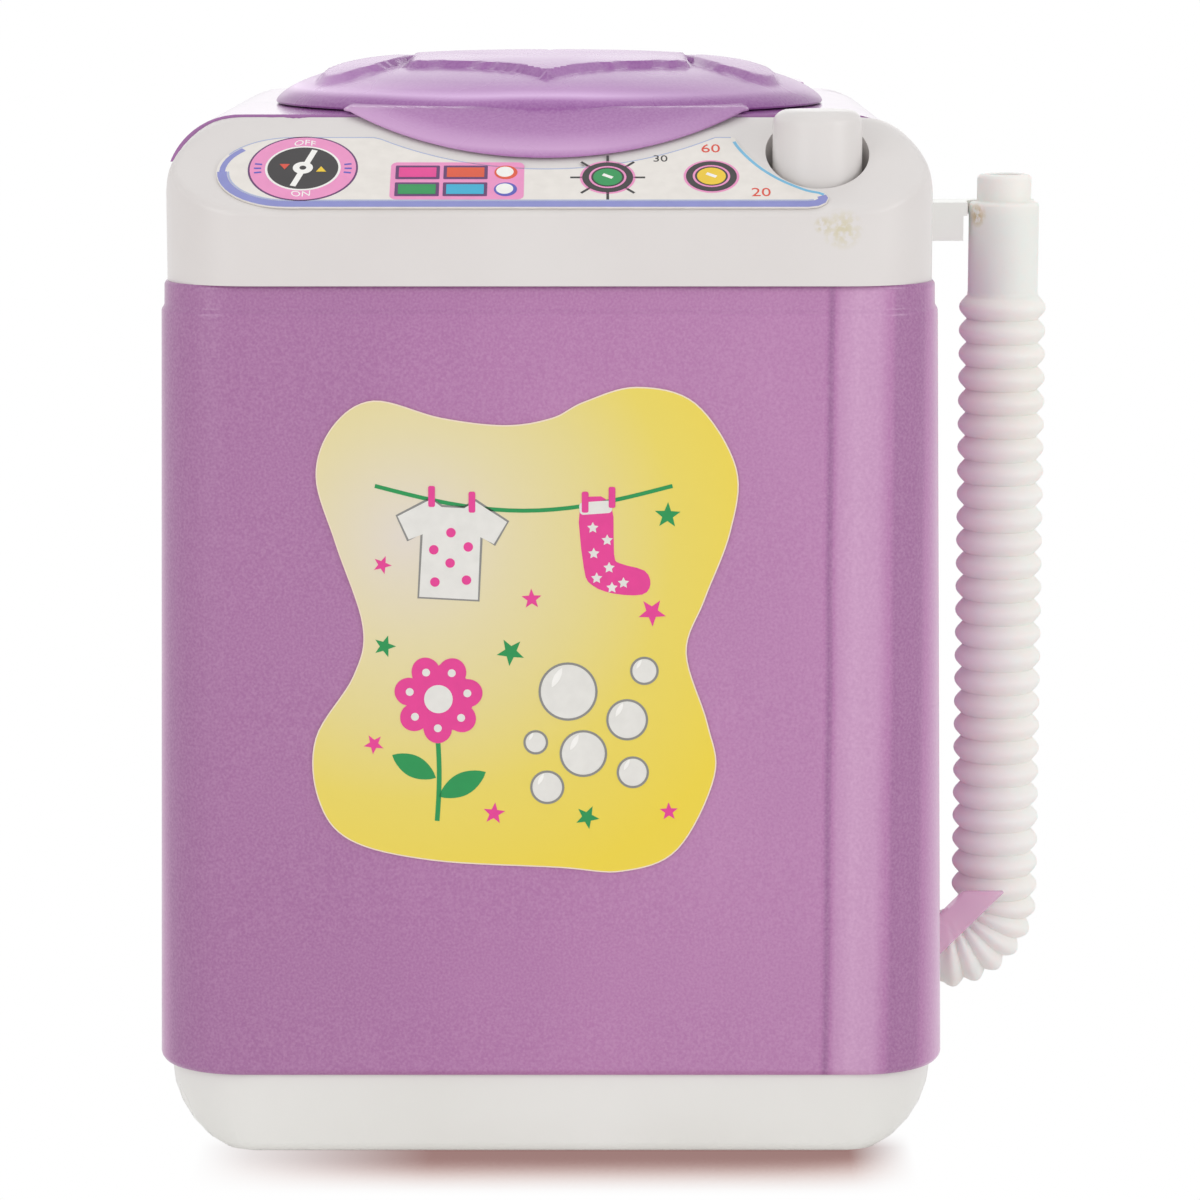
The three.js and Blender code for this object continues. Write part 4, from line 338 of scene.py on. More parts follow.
@dataclass(frozen=True)
class LidPearl(Finish):
    """The lid's glossy pearl, with painted highlight and painted shade streaks along its front and painted shade
    toward its right side.
    """

    # colour of the painted shade toward the lid's right side
    shade: Colour = (134, 68, 142)
    glint: Colour = (206, 160, 208)
    speck: Colour = (110, 64, 110)
    middle: Plan = (-0.4, 3.0)
    front: float = -35.0
    rear: float = 3.0
    # painted highlights and painted shade by distance ahead of the lid's middle: the tab's lit lower edge, the
    # dark crease above it and the bright streak on the dome's front
    streaks: tuple[tuple[float, Colour], ...] = (
        (-34.6, (168, 108, 171)), (-33.8, (204, 158, 205)), (-32.6, (190, 138, 192)), (-31.2, (168, 108, 171)),
        (-28.4, (156, 92, 160)), (-27.6, (142, 76, 150)), (-26.9, (160, 96, 168)), (-26.0, (224, 184, 232)),
        (-24.9, (192, 142, 200)), (-22.8, (162, 102, 172)), (-14.0, (150, 88, 160)), (2.0, (158, 96, 168)))

    def paint(self, sheet: NodeSheet) -> None:
        """Writes the finish's nodes, with the streaks laid by the distance from the lid's middle.

        Args:
            sheet: the material's nodes.
        """
        flat = sheet.add("VectorMath", 0, {0: sheet.place(), 1: (1, 1, 0)}, operation="MULTIPLY")
        ahead = sheet.calc("SUBTRACT", self.middle[1] * MM, sheet.away((*self.middle, 0), flat))
        waver = sheet.calc("MULTIPLY_ADD", sheet.noise(34, 2, (1, 0.2, 0.2)), 0.0022, ahead)
        place = sheet.spread(sheet.calc("SUBTRACT", waver, 0.0011), 0, 1, self.front * MM, self.rear * MM)
        length = self.rear - self.front
        flow_and_light_bands = sheet.band(place, [((y - self.front) / length, colour) for y, colour in self.streaks])
        # painted shade toward the lid's right side
        shaded = sheet.mix(sheet.spread(sheet.along("X"), 0.0, 0.85, 0.004, 0.028), flow_and_light_bands, self.shade)
        grain = sheet.mix(sheet.spread(sheet.noise(3200, 1), 0, 0.2), shaded, self.glint)
        sheet.surface(
            sheet.mix(sheet.specks(170, 0.03, 0.99), grain, self.speck),
            sheet.spread(sheet.noise(90, 2), 0.25, 0.31),
            Normal=sheet.relief(sheet.noise(2600, 1), 0.000003), Coat_Weight=0.15, Coat_Roughness=0.12)


@dataclass(frozen=True)
class Metal(Finish):
    """A plated metal with fine brushed streaks."""

    light: Colour = (205, 205, 208)
    dark: Colour = (165, 166, 170)
    roughness: float = 0.28

    def paint(self, sheet: NodeSheet) -> None:
        """Writes the finish's nodes.

        Args:
            sheet: the material's nodes.
        """
        streaks = sheet.noise(500, 3, (1, 1, 8))
        sheet.surface(
            sheet.mix(sheet.spread(streaks, 0, 1), self.dark, self.light),
            sheet.spread(streaks, self.roughness * 0.8, self.roughness * 1.3),
            Normal=sheet.relief(streaks, 0.000004), Metallic=1.0)


@dataclass(frozen=True)
class Print(Finish):
    """A flat printed colour with the fine unevenness of a print."""

    shade: Colour

    def paint(self, sheet: NodeSheet) -> None:
        """Writes the finish's nodes.

        Args:
            sheet: the material's nodes.
        """
        darker = tuple(round(value * 0.975) for value in self.shade)
        sheet.surface(
            sheet.mix(sheet.spread(sheet.noise(700, 2), 0, 1), darker, self.shade),
            sheet.spread(sheet.noise(400), 0.378, 0.462))


@dataclass(frozen=True)
class Gradient(Finish):
    """The front sticker's print, cream round a place at the upper left and yellow away from it."""

    centre: Point = (-14.9, -41.5, 66.5)
    reach: float = 40.0

    def paint(self, sheet: NodeSheet) -> None:
        """Writes the finish's nodes.

        Args:
            sheet: the material's nodes.
        """
        place = sheet.spread(sheet.away(self.centre, sheet.place()), 0, 1, 0, self.reach * MM)
        sheet.surface(
            sheet.band(place, [
                (0.0, (226, 217, 206)), (0.28, (229, 217, 170)), (0.5, (230, 215, 140)),
                (0.7, (234, 214, 98)), (1.0, (238, 213, 66))]),
            sheet.spread(sheet.noise(400), 0.34, 0.44))


@dataclass(frozen=True)
class FloorPaper(Finish):
    """Pale paper that the camera sees as white, but for a thin painted shadow at the base's front edge."""

    paper: Colour = (247, 245, 244)
    white: Colour = (255, 255, 255)
    black: Colour = (0, 0, 0)

    def paint(self, sheet: NodeSheet) -> None:
        """Writes the finish's nodes.

        Args:
            sheet: the material's nodes.
        """
        sheet.surface(tint(self.paper), 0.8)
        near = sheet.add("AmbientOcclusion", "AO", {"Distance": 0.016})
        # painted shadow: ambient occlusion held by position to a strip in front of the base and shown to the
        # camera as glow
        ahead = sheet.spread(sheet.along("Y"), 1, 0.06, -0.0395, -0.034)
        side = sheet.band(sheet.spread(sheet.along("X"), 0, 1, -0.042, 0.042), [
            (0.05, self.black), (0.12, (150, 150, 150)), (0.35, self.white), (0.88, self.white),
            (0.96, self.black)])
        cast = sheet.band(near, [
            (0.0, (158, 124, 120)), (0.6, (160, 127, 123)), (0.68, (180, 148, 143)), (0.82, (228, 212, 208)),
            (0.97, self.white)])
        glow = sheet.add(
            "Emission", 0, {"Color": sheet.mix(sheet.calc("MULTIPLY", ahead, side), self.white, cast)})
        seen = sheet.add("LightPath", "Is Camera Ray", {})
        seen = sheet.calc("MAXIMUM", seen, seen.node.outputs["Is Glossy Ray"])
        paper = sheet.tree.nodes["Principled BSDF"].outputs["BSDF"]
        both = sheet.add("MixShader", 0, {0: seen, 1: paper, 2: glow})
        sheet.fill(sheet.tree.nodes["Material Output"], {"Surface": both})


WHITE = Plastic(
    "white_moulding", (227, 223, 221), (222, 217, 215), (190, 170, 140), rarity=0.99, speck_size=0.03,
    stains=(((30.3, -41.5, 98.5), 2.3, (214, 206, 180)), ((28.3, -41.5, 98.9), 1.0, (206, 196, 164))))
BASE_WHITE = Plastic(
    "base_plastic", (236, 236, 232), (231, 231, 226), (168, 122, 80), rarity=0.985, speck_size=0.03,
    stains=(((-18.5, -40.9, 1.9), 0.7, (196, 132, 70)),))
PEARL = Pearl("pearl_plastic")
LID_PEARL = LidPearl("lid_pearl")
DECK_PEARL = Plastic(
    "deck_plastic", (176, 114, 178), (162, 100, 166), (110, 64, 110), roughness=0.1, coat=0.6, patches=26,
    grain=0.000001, rarity=0.992, speck_size=0.03)
TONGUE_PEARL = Plastic(
    "tongue_plastic", (246, 204, 232), (238, 190, 222), (92, 52, 84), roughness=0.3, coat=0.2, alpha=0.52)
HOSE_SOFT = Plastic(
    "hose_moulding", (252, 249, 243), (250, 244, 237), (196, 160, 120), roughness=0.5, under=0.7, patches=60,
    rarity=0.992, speck_size=0.03, stains=(((47.4, -2.4, 97.2), 1.5, (214, 196, 146)),))
HOOK_WHITE = Plastic("hook_moulding", (248, 250, 246), (243, 245, 240), rarity=0.99, speck_size=0.03)
TUB_WHITE = Plastic("tub_plastic", (230, 230, 228), (222, 222, 220), rarity=0.99, speck_size=0.03)
SPRING_STEEL = Metal("spring_steel", (190, 190, 194), (150, 151, 155), 0.24)


# Meshes


def upright(a: float, b: float, c: float) -> Point:
    """Takes an outline as a plan."""
    return (a, b, c)


def sideways(a: float, b: float, c: float) -> Point:
    """Takes an outline as a view from the side."""
    return (c, a, b)


def level(plan: Sequence[Plan], z: float) -> list[Point]:
    """Returns the points of a plan at a height."""
    return [(x, y, z) for x, y in plan]


def arc(centre: Plan, radius: float, start: float, end: float, steps: int) -> list[Plan]:
    """Returns the points of an arc between two angles, with both ends."""
    turns = [start + (end - start) * i / steps for i in range(steps + 1)]
    return [(centre[0] + radius * math.cos(turn), centre[1] + radius * math.sin(turn)) for turn in turns]


def circle(centre: Plan, radius: float, count: int = 40) -> list[Plan]:
    """Outlines a circle."""
    return arc(centre, radius, 0, 4 * QUARTER, count)[:-1]


def rounded_plan(half_width: float, half_depth: float, radius: float, steps: int) -> list[Plan]:
    """Outlines a rounded rectangle.

    Args:
        half_width: half its size along X.
        half_depth: half its size along Y.
        radius: of its corners.
        steps: segments in each corner.

    Returns:
        The outline, counter-clockwise from above.
    """
    plan = []
    for side_x, side_y, turn in ((1, 1, 0), (-1, 1, QUARTER), (-1, -1, 2 * QUARTER), (1, -1, 3 * QUARTER)):
        centre = side_x * (half_width - radius), side_y * (half_depth - radius)
        plan += arc(centre, radius, turn, turn + QUARTER, steps)
    return plan


def soft_min(first: float, second: float, reach: float) -> float:
    """Returns the lower of two heights with a rounded change between them."""
    share = max(reach - abs(first - second), 0) / reach
    return min(first, second) - share * share * reach / 4


class Mould:
    """Collects the points and faces of one mesh, in millimetres."""

    def __init__(self) -> None:
        """Starts with nothing."""
        self.points: list[Point] = []
        self.faces: list[tuple[int, ...]] = []
        self.slots: list[int] = []

    def ring(self, points: Sequence[Point]) -> list[int]:
        """Adds points and returns their numbers."""
        self.points.extend(points)
        return list(range(len(self.points) - len(points), len(self.points)))

    def face(self, corners: Sequence[int], slot: int = 0) -> None:
        """Adds one face."""
        self.faces.append(tuple(corners))
        self.slots.append(slot)

    def bridge(self, low: Sequence[int], high: Sequence[int], slot: int = 0) -> None:
        """Joins two closed rings, or a ring and a point, with a wall.

        Args:
            low: the numbers of the lower ring.
            high: the numbers of the upper ring.
            slot: the material slot.
        """
        count = max(len(low), len(high))
        for i in range(count if count > 1 else 0):
            k = (i + 1) % count
            corners = (low[i % len(low)], low[k % len(low)], high[k % len(high)], high[i % len(high)])
            self.face(dict.fromkeys(corners), slot)

    def loft(self, rings: Sequence[Sequence[Point]], slot: int = 0, closed: bool = False) -> Mould:
        """Makes a closed body from rings.

        Args:
            rings: closed rings of equal count, or single points, from the bottom up.
            slot: the material slot.
            closed: joins the last ring to the first in place of two end faces.

        Returns:
            The mould.
        """
        numbers = [self.ring(ring) for ring in rings]
        for low, high in zip(numbers, numbers[1:] + (numbers[:1] if closed else [])):
            self.bridge(low, high, slot)
        for end in () if closed else (numbers[0][::-1], numbers[-1]):
            if len(end) > 1:
                self.face(end, slot)
        return self

    def turned(self, profile: Sequence[Plan], centre: Plan, count: int = 64) -> Mould:
        """Turns a profile of radius and height, from the bottom up, about an upright axis."""
        rings = [level(circle(centre, radius, count) if radius else [centre], z) for radius, z in profile]
        return self.loft(rings, closed=min(len(rings[0]), len(rings[-1])) > 1)

    def prism(
        self, outline: Sequence[Plan], low: float, high: float, place: Place = upright, slot: int = 0
    ) -> Mould:
        """Makes a straight-sided body between two places from a counter-clockwise outline."""
        return self.loft([[place(a, b, end) for a, b in outline] for end in (low, high)], slot)

    def build(self, name: str, *finishes: Finish | Ink, smooth: float = 35.0) -> Piece:
        """Makes the object.

        Args:
            name: the piece's name.
            finishes: one for each slot.
            smooth: the greatest angle in degrees that is shaded smooth.

        Returns:
            The object, in metres.
        """
        mesh = bpy.data.meshes.new(name)
        mesh.from_pydata([tuple(value * MM for value in point) for point in self.points], [], self.faces)
        mesh.polygons.foreach_set("material_index", self.slots)
        for finish in finishes:
            mesh.materials.append(finish.material())
        made = show(name, mesh)
        soften(made, smooth)
        return made


def show(name: str, data: bpy.types.ID) -> bpy.types.Object:
    """Puts an object with its data in the scene.

    Args:
        name: the object's name.
        data: a mesh, curve, lamp or camera.

    Returns:
        The object.
    """
    made = bpy.data.objects.new(name, data)
    bpy.context.scene.collection.objects.link(made)
    return made


def soften(piece: Piece, angle: float) -> None:
    """Turns a piece's faces outward and shades it smooth.

    Args:
        piece: the object.
        angle: the greatest angle in degrees that is shaded smooth.
    """
    mesh = piece.data
    form = bmesh.new()
    form.from_mesh(mesh)
    bmesh.ops.recalc_face_normals(form, faces=form.faces)
    form.to_mesh(mesh)
    form.free()
    mesh.polygons.foreach_set("use_smooth", [True] * len(mesh.polygons))
    mesh.set_sharp_from_angle(angle=math.radians(angle))


def polish(piece: Piece, angle: float) -> None:
    """Shades a piece smooth and keeps its flat faces flat beside rounded ones.

    Args:
        piece: the object.
        angle: the greatest angle in degrees that is shaded smooth.
    """
    soften(piece, angle)
    modifier = piece.modifiers.new("flat_faces", "WEIGHTED_NORMAL")
    modifier.keep_sharp = True
    modifier.weight = 60


def settle(piece: Piece, kind: str, **values: object) -> None:
    """Applies a modifier to a piece's mesh.

    Args:
        piece: the object.
        kind: the modifier's type.
        values: its properties.
    """
    modifier = piece.modifiers.new(kind.lower(), kind)
    for key, value in values.items():
        setattr(modifier, key, value)
    mesh = bpy.data.meshes.new_from_object(piece.evaluated_get(bpy.context.evaluated_depsgraph_get()))
    piece.modifiers.clear()
    piece.data = mesh


def carve(target: Piece, tool: Piece, mode: Carve = Carve.CUT) -> None:
    """Works one solid on another and deletes the tool."""
    settle(target, "BOOLEAN", operation=mode.value, solver="EXACT", object=tool)
    bpy.data.objects.remove(tool)


def finish_piece(piece: Piece, body: Body, slot: str, *nodes: str) -> None:
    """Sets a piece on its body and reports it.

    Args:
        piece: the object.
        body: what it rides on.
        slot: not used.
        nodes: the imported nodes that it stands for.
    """
    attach(piece, body.value)
    if nodes:
        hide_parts(*nodes)
    LOG.info("%s rides on %s with %d faces", piece.name, body.value, len(piece.data.polygons))


def cleaned_copy(name: str, node: str, finish: Finish) -> Piece:
    """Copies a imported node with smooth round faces.

    Args:
        name: the piece's name.
        node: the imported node.
        finish: its finish.

    Returns:
        The piece, on no body yet.
    """
    weld, flat, smooth = 0.0000015, 0.4, 38.0
    form = bmesh.new()
    form.from_mesh(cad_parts[node].data)
    bmesh.ops.remove_doubles(form, verts=form.verts, dist=weld)
    bmesh.ops.dissolve_limit(form, angle_limit=math.radians(flat), verts=form.verts, edges=form.edges)
    mesh = bpy.data.meshes.new(name)
    form.to_mesh(mesh)
    form.free()
    mesh.materials.append(finish.material())
    made = show(name, mesh)
    polish(made, smooth)
    return made


def moulded_copy(name: str, node: str, body: Body, finish: Finish, slot: str) -> None:
    """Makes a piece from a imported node's shape and sets it on its body."""
    finish_piece(cleaned_copy(name, node, finish), body, slot, node)


# Casing


@dataclass
class Casing:
    """The shell, the cover with its sloped panel, the deck and the base, in millimetres."""

    wall: float = 1.6
    corner: float = 9.3
    corner_steps: int = 14
    shell_half_width: float = 42.15
    shell_half_depth: float = 42.4
    shell_low: float = 8.7
    shell_top: float = 92.6
    draft: float = 1.3
    neck_depth: float = 0.3
    neck_height: float = 2.4
    cover_half_width: float = 40.3
    cover_half_depth: float = 41.5
    front_top: float = 100.5
    deck_top: float = 109.6
    deck_skirt: float = 5.0
    panel_top_y: float = -27.0
    shoulder: float = 8.0
    edge: float = 0.7
    ridge: float = 1.1
    gap: float = 0.3
    deck_shift: float = -0.7
    lid_centre: Plan = (-0.4, 3.0)
    mouth: float = 25.0
    hinge: Plan = (36.6, 111.9)
    button: Plan = (28.1, -32.9)
    well: float = 5.45
    port_z: float = 12.7
    far: float = 60.0
    steps: tuple[float, ...] = (
        38, 36, 30, 24, 18, 14.6, 12, 10, 8.6, 7.5, 6.5, 5.5, 4.6, 3.8, 3.1, 2.5, 2.0, 1.6, 1.25, 0.95, 0.72,
        0.55, 0.4, 0.28, 0.18, 0.1, 0.04, 0.0)
    marks: tuple[float, ...] = (-31.6, -30.4, -29.2, -28.2, -27.5, -27.0, -26.4, -25.0, -20.0, 20.0)

    @property
    def slope(self) -> float:
        """The panel's rise for each millimetre to the rear."""
        return (self.deck_top - self.front_top) / (self.panel_top_y + self.cover_half_depth)

    def shoulder_z(self, x: float, drop: float = 0.0) -> float:
        """Returns the top's height across its round shoulders, at a drop inside the outer skin."""
        over = min(max(abs(x) - (self.cover_half_width - self.shoulder), 0), self.shoulder - drop)
        return self.deck_top - self.shoulder + math.sqrt(max((self.shoulder - drop) ** 2 - over * over, 0))

    def cover_height(self, x: float, y: float) -> float:
        """Returns the cover's top, with a soft ridge where the panel meets the flat."""
        panel = self.front_top + (y + self.cover_half_depth) * self.slope
        return soft_min(panel, self.shoulder_z(x), self.ridge)

    def lean(self, z: float) -> float:
        """Returns how far the shell's draft brings its wall in at a height."""
        return self.draft * (z - self.shell_low) / (self.shell_top - self.shell_low)

    def shell_inset(self, z: float) -> float:
        """Returns how far the shell's outer wall stands in at a height.

        Args:
            z: the height.

        Returns:
            The inset with the rounded foot, the neck and the rounded top.
        """
        inset, neck, top = self.lean(z), self.shell_top - self.neck_height, self.shell_top - 0.4
        if z < self.shell_low + self.edge:
            share = 1 - (z - self.shell_low) / self.edge
            inset += 0.5 * self.edge * share * share
        if z > neck - self.edge:
            share = min((z - neck + self.edge) / self.edge, 1)
            inset += self.neck_depth * share * share * (3 - 2 * share)
        if z > top:
            inset += 0.2 * ((z - top) / 0.4) ** 2
        return inset

    def shell_ring(self, z: float, inset: float) -> list[Point]:
        """Returns the shell's outline at a height and an inset."""
        half_width, half_depth = self.shell_half_width - inset, self.shell_half_depth - inset
        return level(rounded_plan(half_width, half_depth, self.corner - inset, self.corner_steps), z)

    def shell(self) -> None:
        """Makes the purple shell with its wall, screw columns and hose port."""
        neck = self.shell_top - self.neck_height
        heights = [self.shell_low + self.edge * i / 4 for i in range(5)]
        heights += [18, 28, 40, 52, 64, 76, neck - self.edge - 0.2]
        heights += [neck - self.edge + self.edge * i / 5 for i in range(6)]
        heights += [self.shell_top - drop for drop in (0.4, 0.25, 0.1, 0)]
        rings = [self.shell_ring(z, self.shell_inset(z)) for z in heights]
        rings += [self.shell_ring(z, self.lean(z) + self.wall) for z in (self.shell_top, 60, self.shell_low)]
        made = Mould().loft(rings, closed=True).build("shell", PEARL)
        port = Mould().prism(circle((0, self.port_z), 4.3), 30, 44.8, sideways)
        carve(made, port.build("port_tool", PEARL))
        for side_x in (-1, 1):
            for side_y in (-1, 1):
                carve(made, self.column(side_x, side_y), Carve.ADD)
        polish(made, 35)
        finish_piece(made, Body.CABINET, "purple_plastic", "body_shell")

    def column(self, side_x: int, side_y: int) -> Piece:
        """Returns one screw column with its rib to the wall.

        Args:
            side_x: -1 or 1 along X.
            side_y: -1 or 1 along Y.

        Returns:
            A tool for the shell.
        """
        x, y, radius, bore, low, high, bored = 34.3, side_y * 32.6, 3.0, 1.3, 12.3, 28.0, 25.0
        near, end = sorted((side_x * (x + radius - 0.6), side_x * 41.2))
        profile = [(bore, low), (radius, low), (radius, high), (0, high), (0, bored), (bore, bored)]
        made = Mould().turned(profile, (side_x * x, y), 28).build("column_tool", PEARL)
        rib = Mould().prism([(near, y - 0.8), (end, y - 0.8), (end, y + 0.8), (near, y + 0.8)], low, high)
        carve(made, rib.build("rib_tool", PEARL), Carve.ADD)
        return made

    def tongue(self) -> None:
        """Makes the slanted retaining tongue in front of the hose's elbow."""
        root_x, tip_x, tip_z, band, near, thickness = 41.2, 51.5, 20.5, 4.8, 5.5, 1.2
        fall = tip_x - root_x
        outline = [(root_x, tip_z - fall), (tip_x, tip_z), (tip_x - band, tip_z), (root_x, tip_z - fall + band)]
        mould = Mould().prism(outline, near, near + thickness, lambda a, b, c: (a, -c, b))
        made = mould.build("hose_tongue", TONGUE_PEARL)
        settle(made, "BEVEL", width=0.35 * MM, segments=3, limit_method="ANGLE", angle_limit=math.radians(40),
               use_clamp_overlap=False, harden_normals=False)
        soften(made, 32)
        finish_piece(made, Body.CABINET, "purple_plastic")

    def cover_plan(self, inset: float) -> list[Plan]:
        """Outlines the cover, with further places along its two sides.

        Args:
            inset: how far inside its outline.

        Returns:
            The outline, counter-clockwise from above.
        """
        half_width, half_depth = self.cover_half_width - inset, self.cover_half_depth - inset
        radius, count = max(self.corner - inset, 0.3), len(self.marks)
        plan = rounded_plan(half_width, half_depth, radius, self.corner_steps)
        reach = half_depth - radius
        margin = 0.02 * reach
        held = [
            min(max(mark, -reach + margin * (i + 1)), reach - margin * (count - i))
            for i, mark in enumerate(self.marks)]
        half = len(plan) // 2
        return [*plan[:half], *((-half_width, y) for y in held[::-1]), *plan[half:],
                *((half_width, y) for y in held)]

    def crowned(self, name: str, finish: Finish, inset: float, low: float, height: Height, shift: float = 0.0,
                edge: float = 0.0) -> Piece:
        """Makes a solid on the cover's plan with a shaped top.

        Args:
            name: the object's name.
            finish: its finish.
            inset: how far its walls stand in from the cover's outline.
            low: its underside.
            height: the top's height at a place.
            shift: its place along X.
            edge: the rounding where the top meets the walls.

        Returns:
            The solid.
        """
        rings = []
        for step in self.steps:
            roll = edge - math.sqrt(edge * edge - (edge - step) ** 2) if step < edge else 0.0
            rings.append([(x + shift, y, height(x, y) - roll) for x, y in self.cover_plan(inset + step)])
        wall = [(x, y, low) for x, y, _ in rings[-1]]
        return Mould().loft([wall, *rings[::-1]]).build(name, finish)

    def block(self, name: str, low: Point, high: Point) -> Piece:
        """Makes a plain block as a tool."""
        plan = [(low[0], low[1]), (high[0], low[1]), (high[0], high[1]), (low[0], high[1])]
        return Mould().prism(plan, low[2], high[2]).build(name, WHITE)

    def pillar(self, name: str, radius: float, low: float, high: float, centre: Plan) -> Piece:
        """Makes a plain cylinder as a tool."""
        profile = [(0, low), (radius, low), (radius, high), (0, high)]
        return Mould().turned(profile, centre, 72).build(name, WHITE)

    def cover(self) -> None:
        """Makes the white cover with its panel and its button well."""
        side_top, under = self.deck_top - self.deck_skirt - self.gap, self.shell_top - 1
        made = self.crowned("top_cover_moulding", WHITE, 0, self.shell_top, self.cover_height, edge=0.8)
        carve(made, self.crowned(
            "cover_hollow", WHITE, self.wall, under, lambda x, y: self.cover_height(x, y) - 1.3 * self.wall))
        carve(made, self.block("rear_tool", (-self.far, self.panel_top_y, side_top), (self.far, self.far, 130)))
        bore, skin = self.well - 0.05, 6.9
        guide = [(bore, 98.6), (skin, 98.6), (skin, 111), (bore, 111)]
        tube = Mould().turned(guide, self.button).build("guide_tool", WHITE)
        room = self.crowned("guide_room", WHITE, 0.5, under, lambda x, y: self.cover_height(x, y) - 0.5)
        carve(tube, room, Carve.KEEP)
        carve(made, tube, Carve.ADD)
        carve(made, self.pillar("well_tool", self.well, 98.5, 112, self.button))
        polish(made, 28)
        finish_piece(made, Body.CABINET, "white_plastic", "top_cover")

    def lip(self) -> None:
        """Makes the cover's lip inside the shell and the carrier of the switch."""
        x, y = self.button
        half_width, half_depth, radius, foot = 38.95, 39.2, 7.4, 83.7
        rings = []
        for z, inset in ((90.0, 0.0), (93.6, 0.0), (93.6, 1.2), (90.0, 1.2)):
            rings.append(level(rounded_plan(
                half_width - inset, half_depth - inset, radius - inset, self.corner_steps), z))
        mould = Mould().loft(rings, closed=True)
        for left, right, top in ((x - 8.0, x - 6.8, 99.0), (x + 6.8, x + 8.0, 99.0), (x - 6.8, x + 6.8, 84.9)):
            mould.prism([(left, y - 4), (right, y - 4), (right, y + 4), (left, y + 4)], foot, top)
        finish_piece(mould.build("cover_lip_and_carrier", WHITE, smooth=30), Body.CABINET, "white_plastic")

    def deck(self) -> None:
        """Makes the purple deck with its mouth."""
        low, far, skin = self.deck_top - self.deck_skirt, self.far, 1.5
        deep = low - 10.0
        made = self.crowned(
            "top_deck_moulding", DECK_PEARL, 0, deep, lambda x, y: self.shoulder_z(x), self.deck_shift, self.edge)
        carve(made, self.crowned(
            "deck_hollow", DECK_PEARL, skin, deep - 1, lambda x, y: self.shoulder_z(x, skin), self.deck_shift))
        carve(made, self.block("under_tool", (-far, -far, deep - 2), (far, far, low)))
        carve(made, self.block("front_tool", (-far, -far, 80), (far, self.panel_top_y + self.gap, 130)))
        inner, outer = self.mouth - 0.5, self.mouth + 1.4
        collar = [(inner, 104.7), (outer, 104.7), (outer, 108.8), (inner, 108.8)]
        carve(made, Mould().turned(collar, self.lid_centre, 96).build("collar_tool", DECK_PEARL), Carve.ADD)
        carve(made, self.pillar("mouth_tool", self.mouth, 104, 112, self.lid_centre))
        polish(made, 30)
        finish_piece(made, Body.CABINET, "lid_plastic", "top_deck")

    def console(self) -> None:
        """Makes the raised console with the two hinge ears."""
        base, hinge_y, ear = self.deck_top, self.hinge[0], 1.9
        rings = []
        for rise, inset in ((0, 0), (0.9, 0), (1.18, 0.12), (1.3, 0.4)):
            plan = rounded_plan(29.6 - inset, 5.25 - inset, 2 - inset, 8)
            rings.append([(x, y + 33.25, base + rise) for x, y in plan])
        made = Mould().loft(rings).build("hinge_console", DECK_PEARL)
        carve(made, self.pillar("lid_room", 31.05, base, base + 4, self.lid_centre))
        carve(made, self.block("hinge_room", (-15.6, 29, base), (15.6, 40, base + 4)))
        outline = [*arc(self.hinge, ear, 0, 2 * QUARTER, 20), (hinge_y - ear, base), (hinge_y + ear, base)]
        for near in (-15.0, 12.5):
            tool = Mould().prism(outline, near, near + 2.5, sideways)
            carve(made, tool.build("ear_tool", DECK_PEARL), Carve.ADD)
        pin = Mould().prism(circle(self.hinge, 1.3, 28), -20, 20, sideways)
        carve(made, pin.build("pin_tool", DECK_PEARL))
        polish(made, 30)
        finish_piece(made, Body.CABINET, "lid_plastic")

    def build(self) -> None:
        """Makes every piece of the casing."""
        moulded_copy("base_moulding", "base_tray", Body.CABINET, BASE_WHITE, "white_plastic")
        moulded_copy("battery_door_moulding", "battery_door", Body.DOOR, BASE_WHITE, "white_plastic")
        for step in (self.shell, self.tongue, self.cover, self.lip, self.deck, self.console):
            step()


# Lid, button and hose


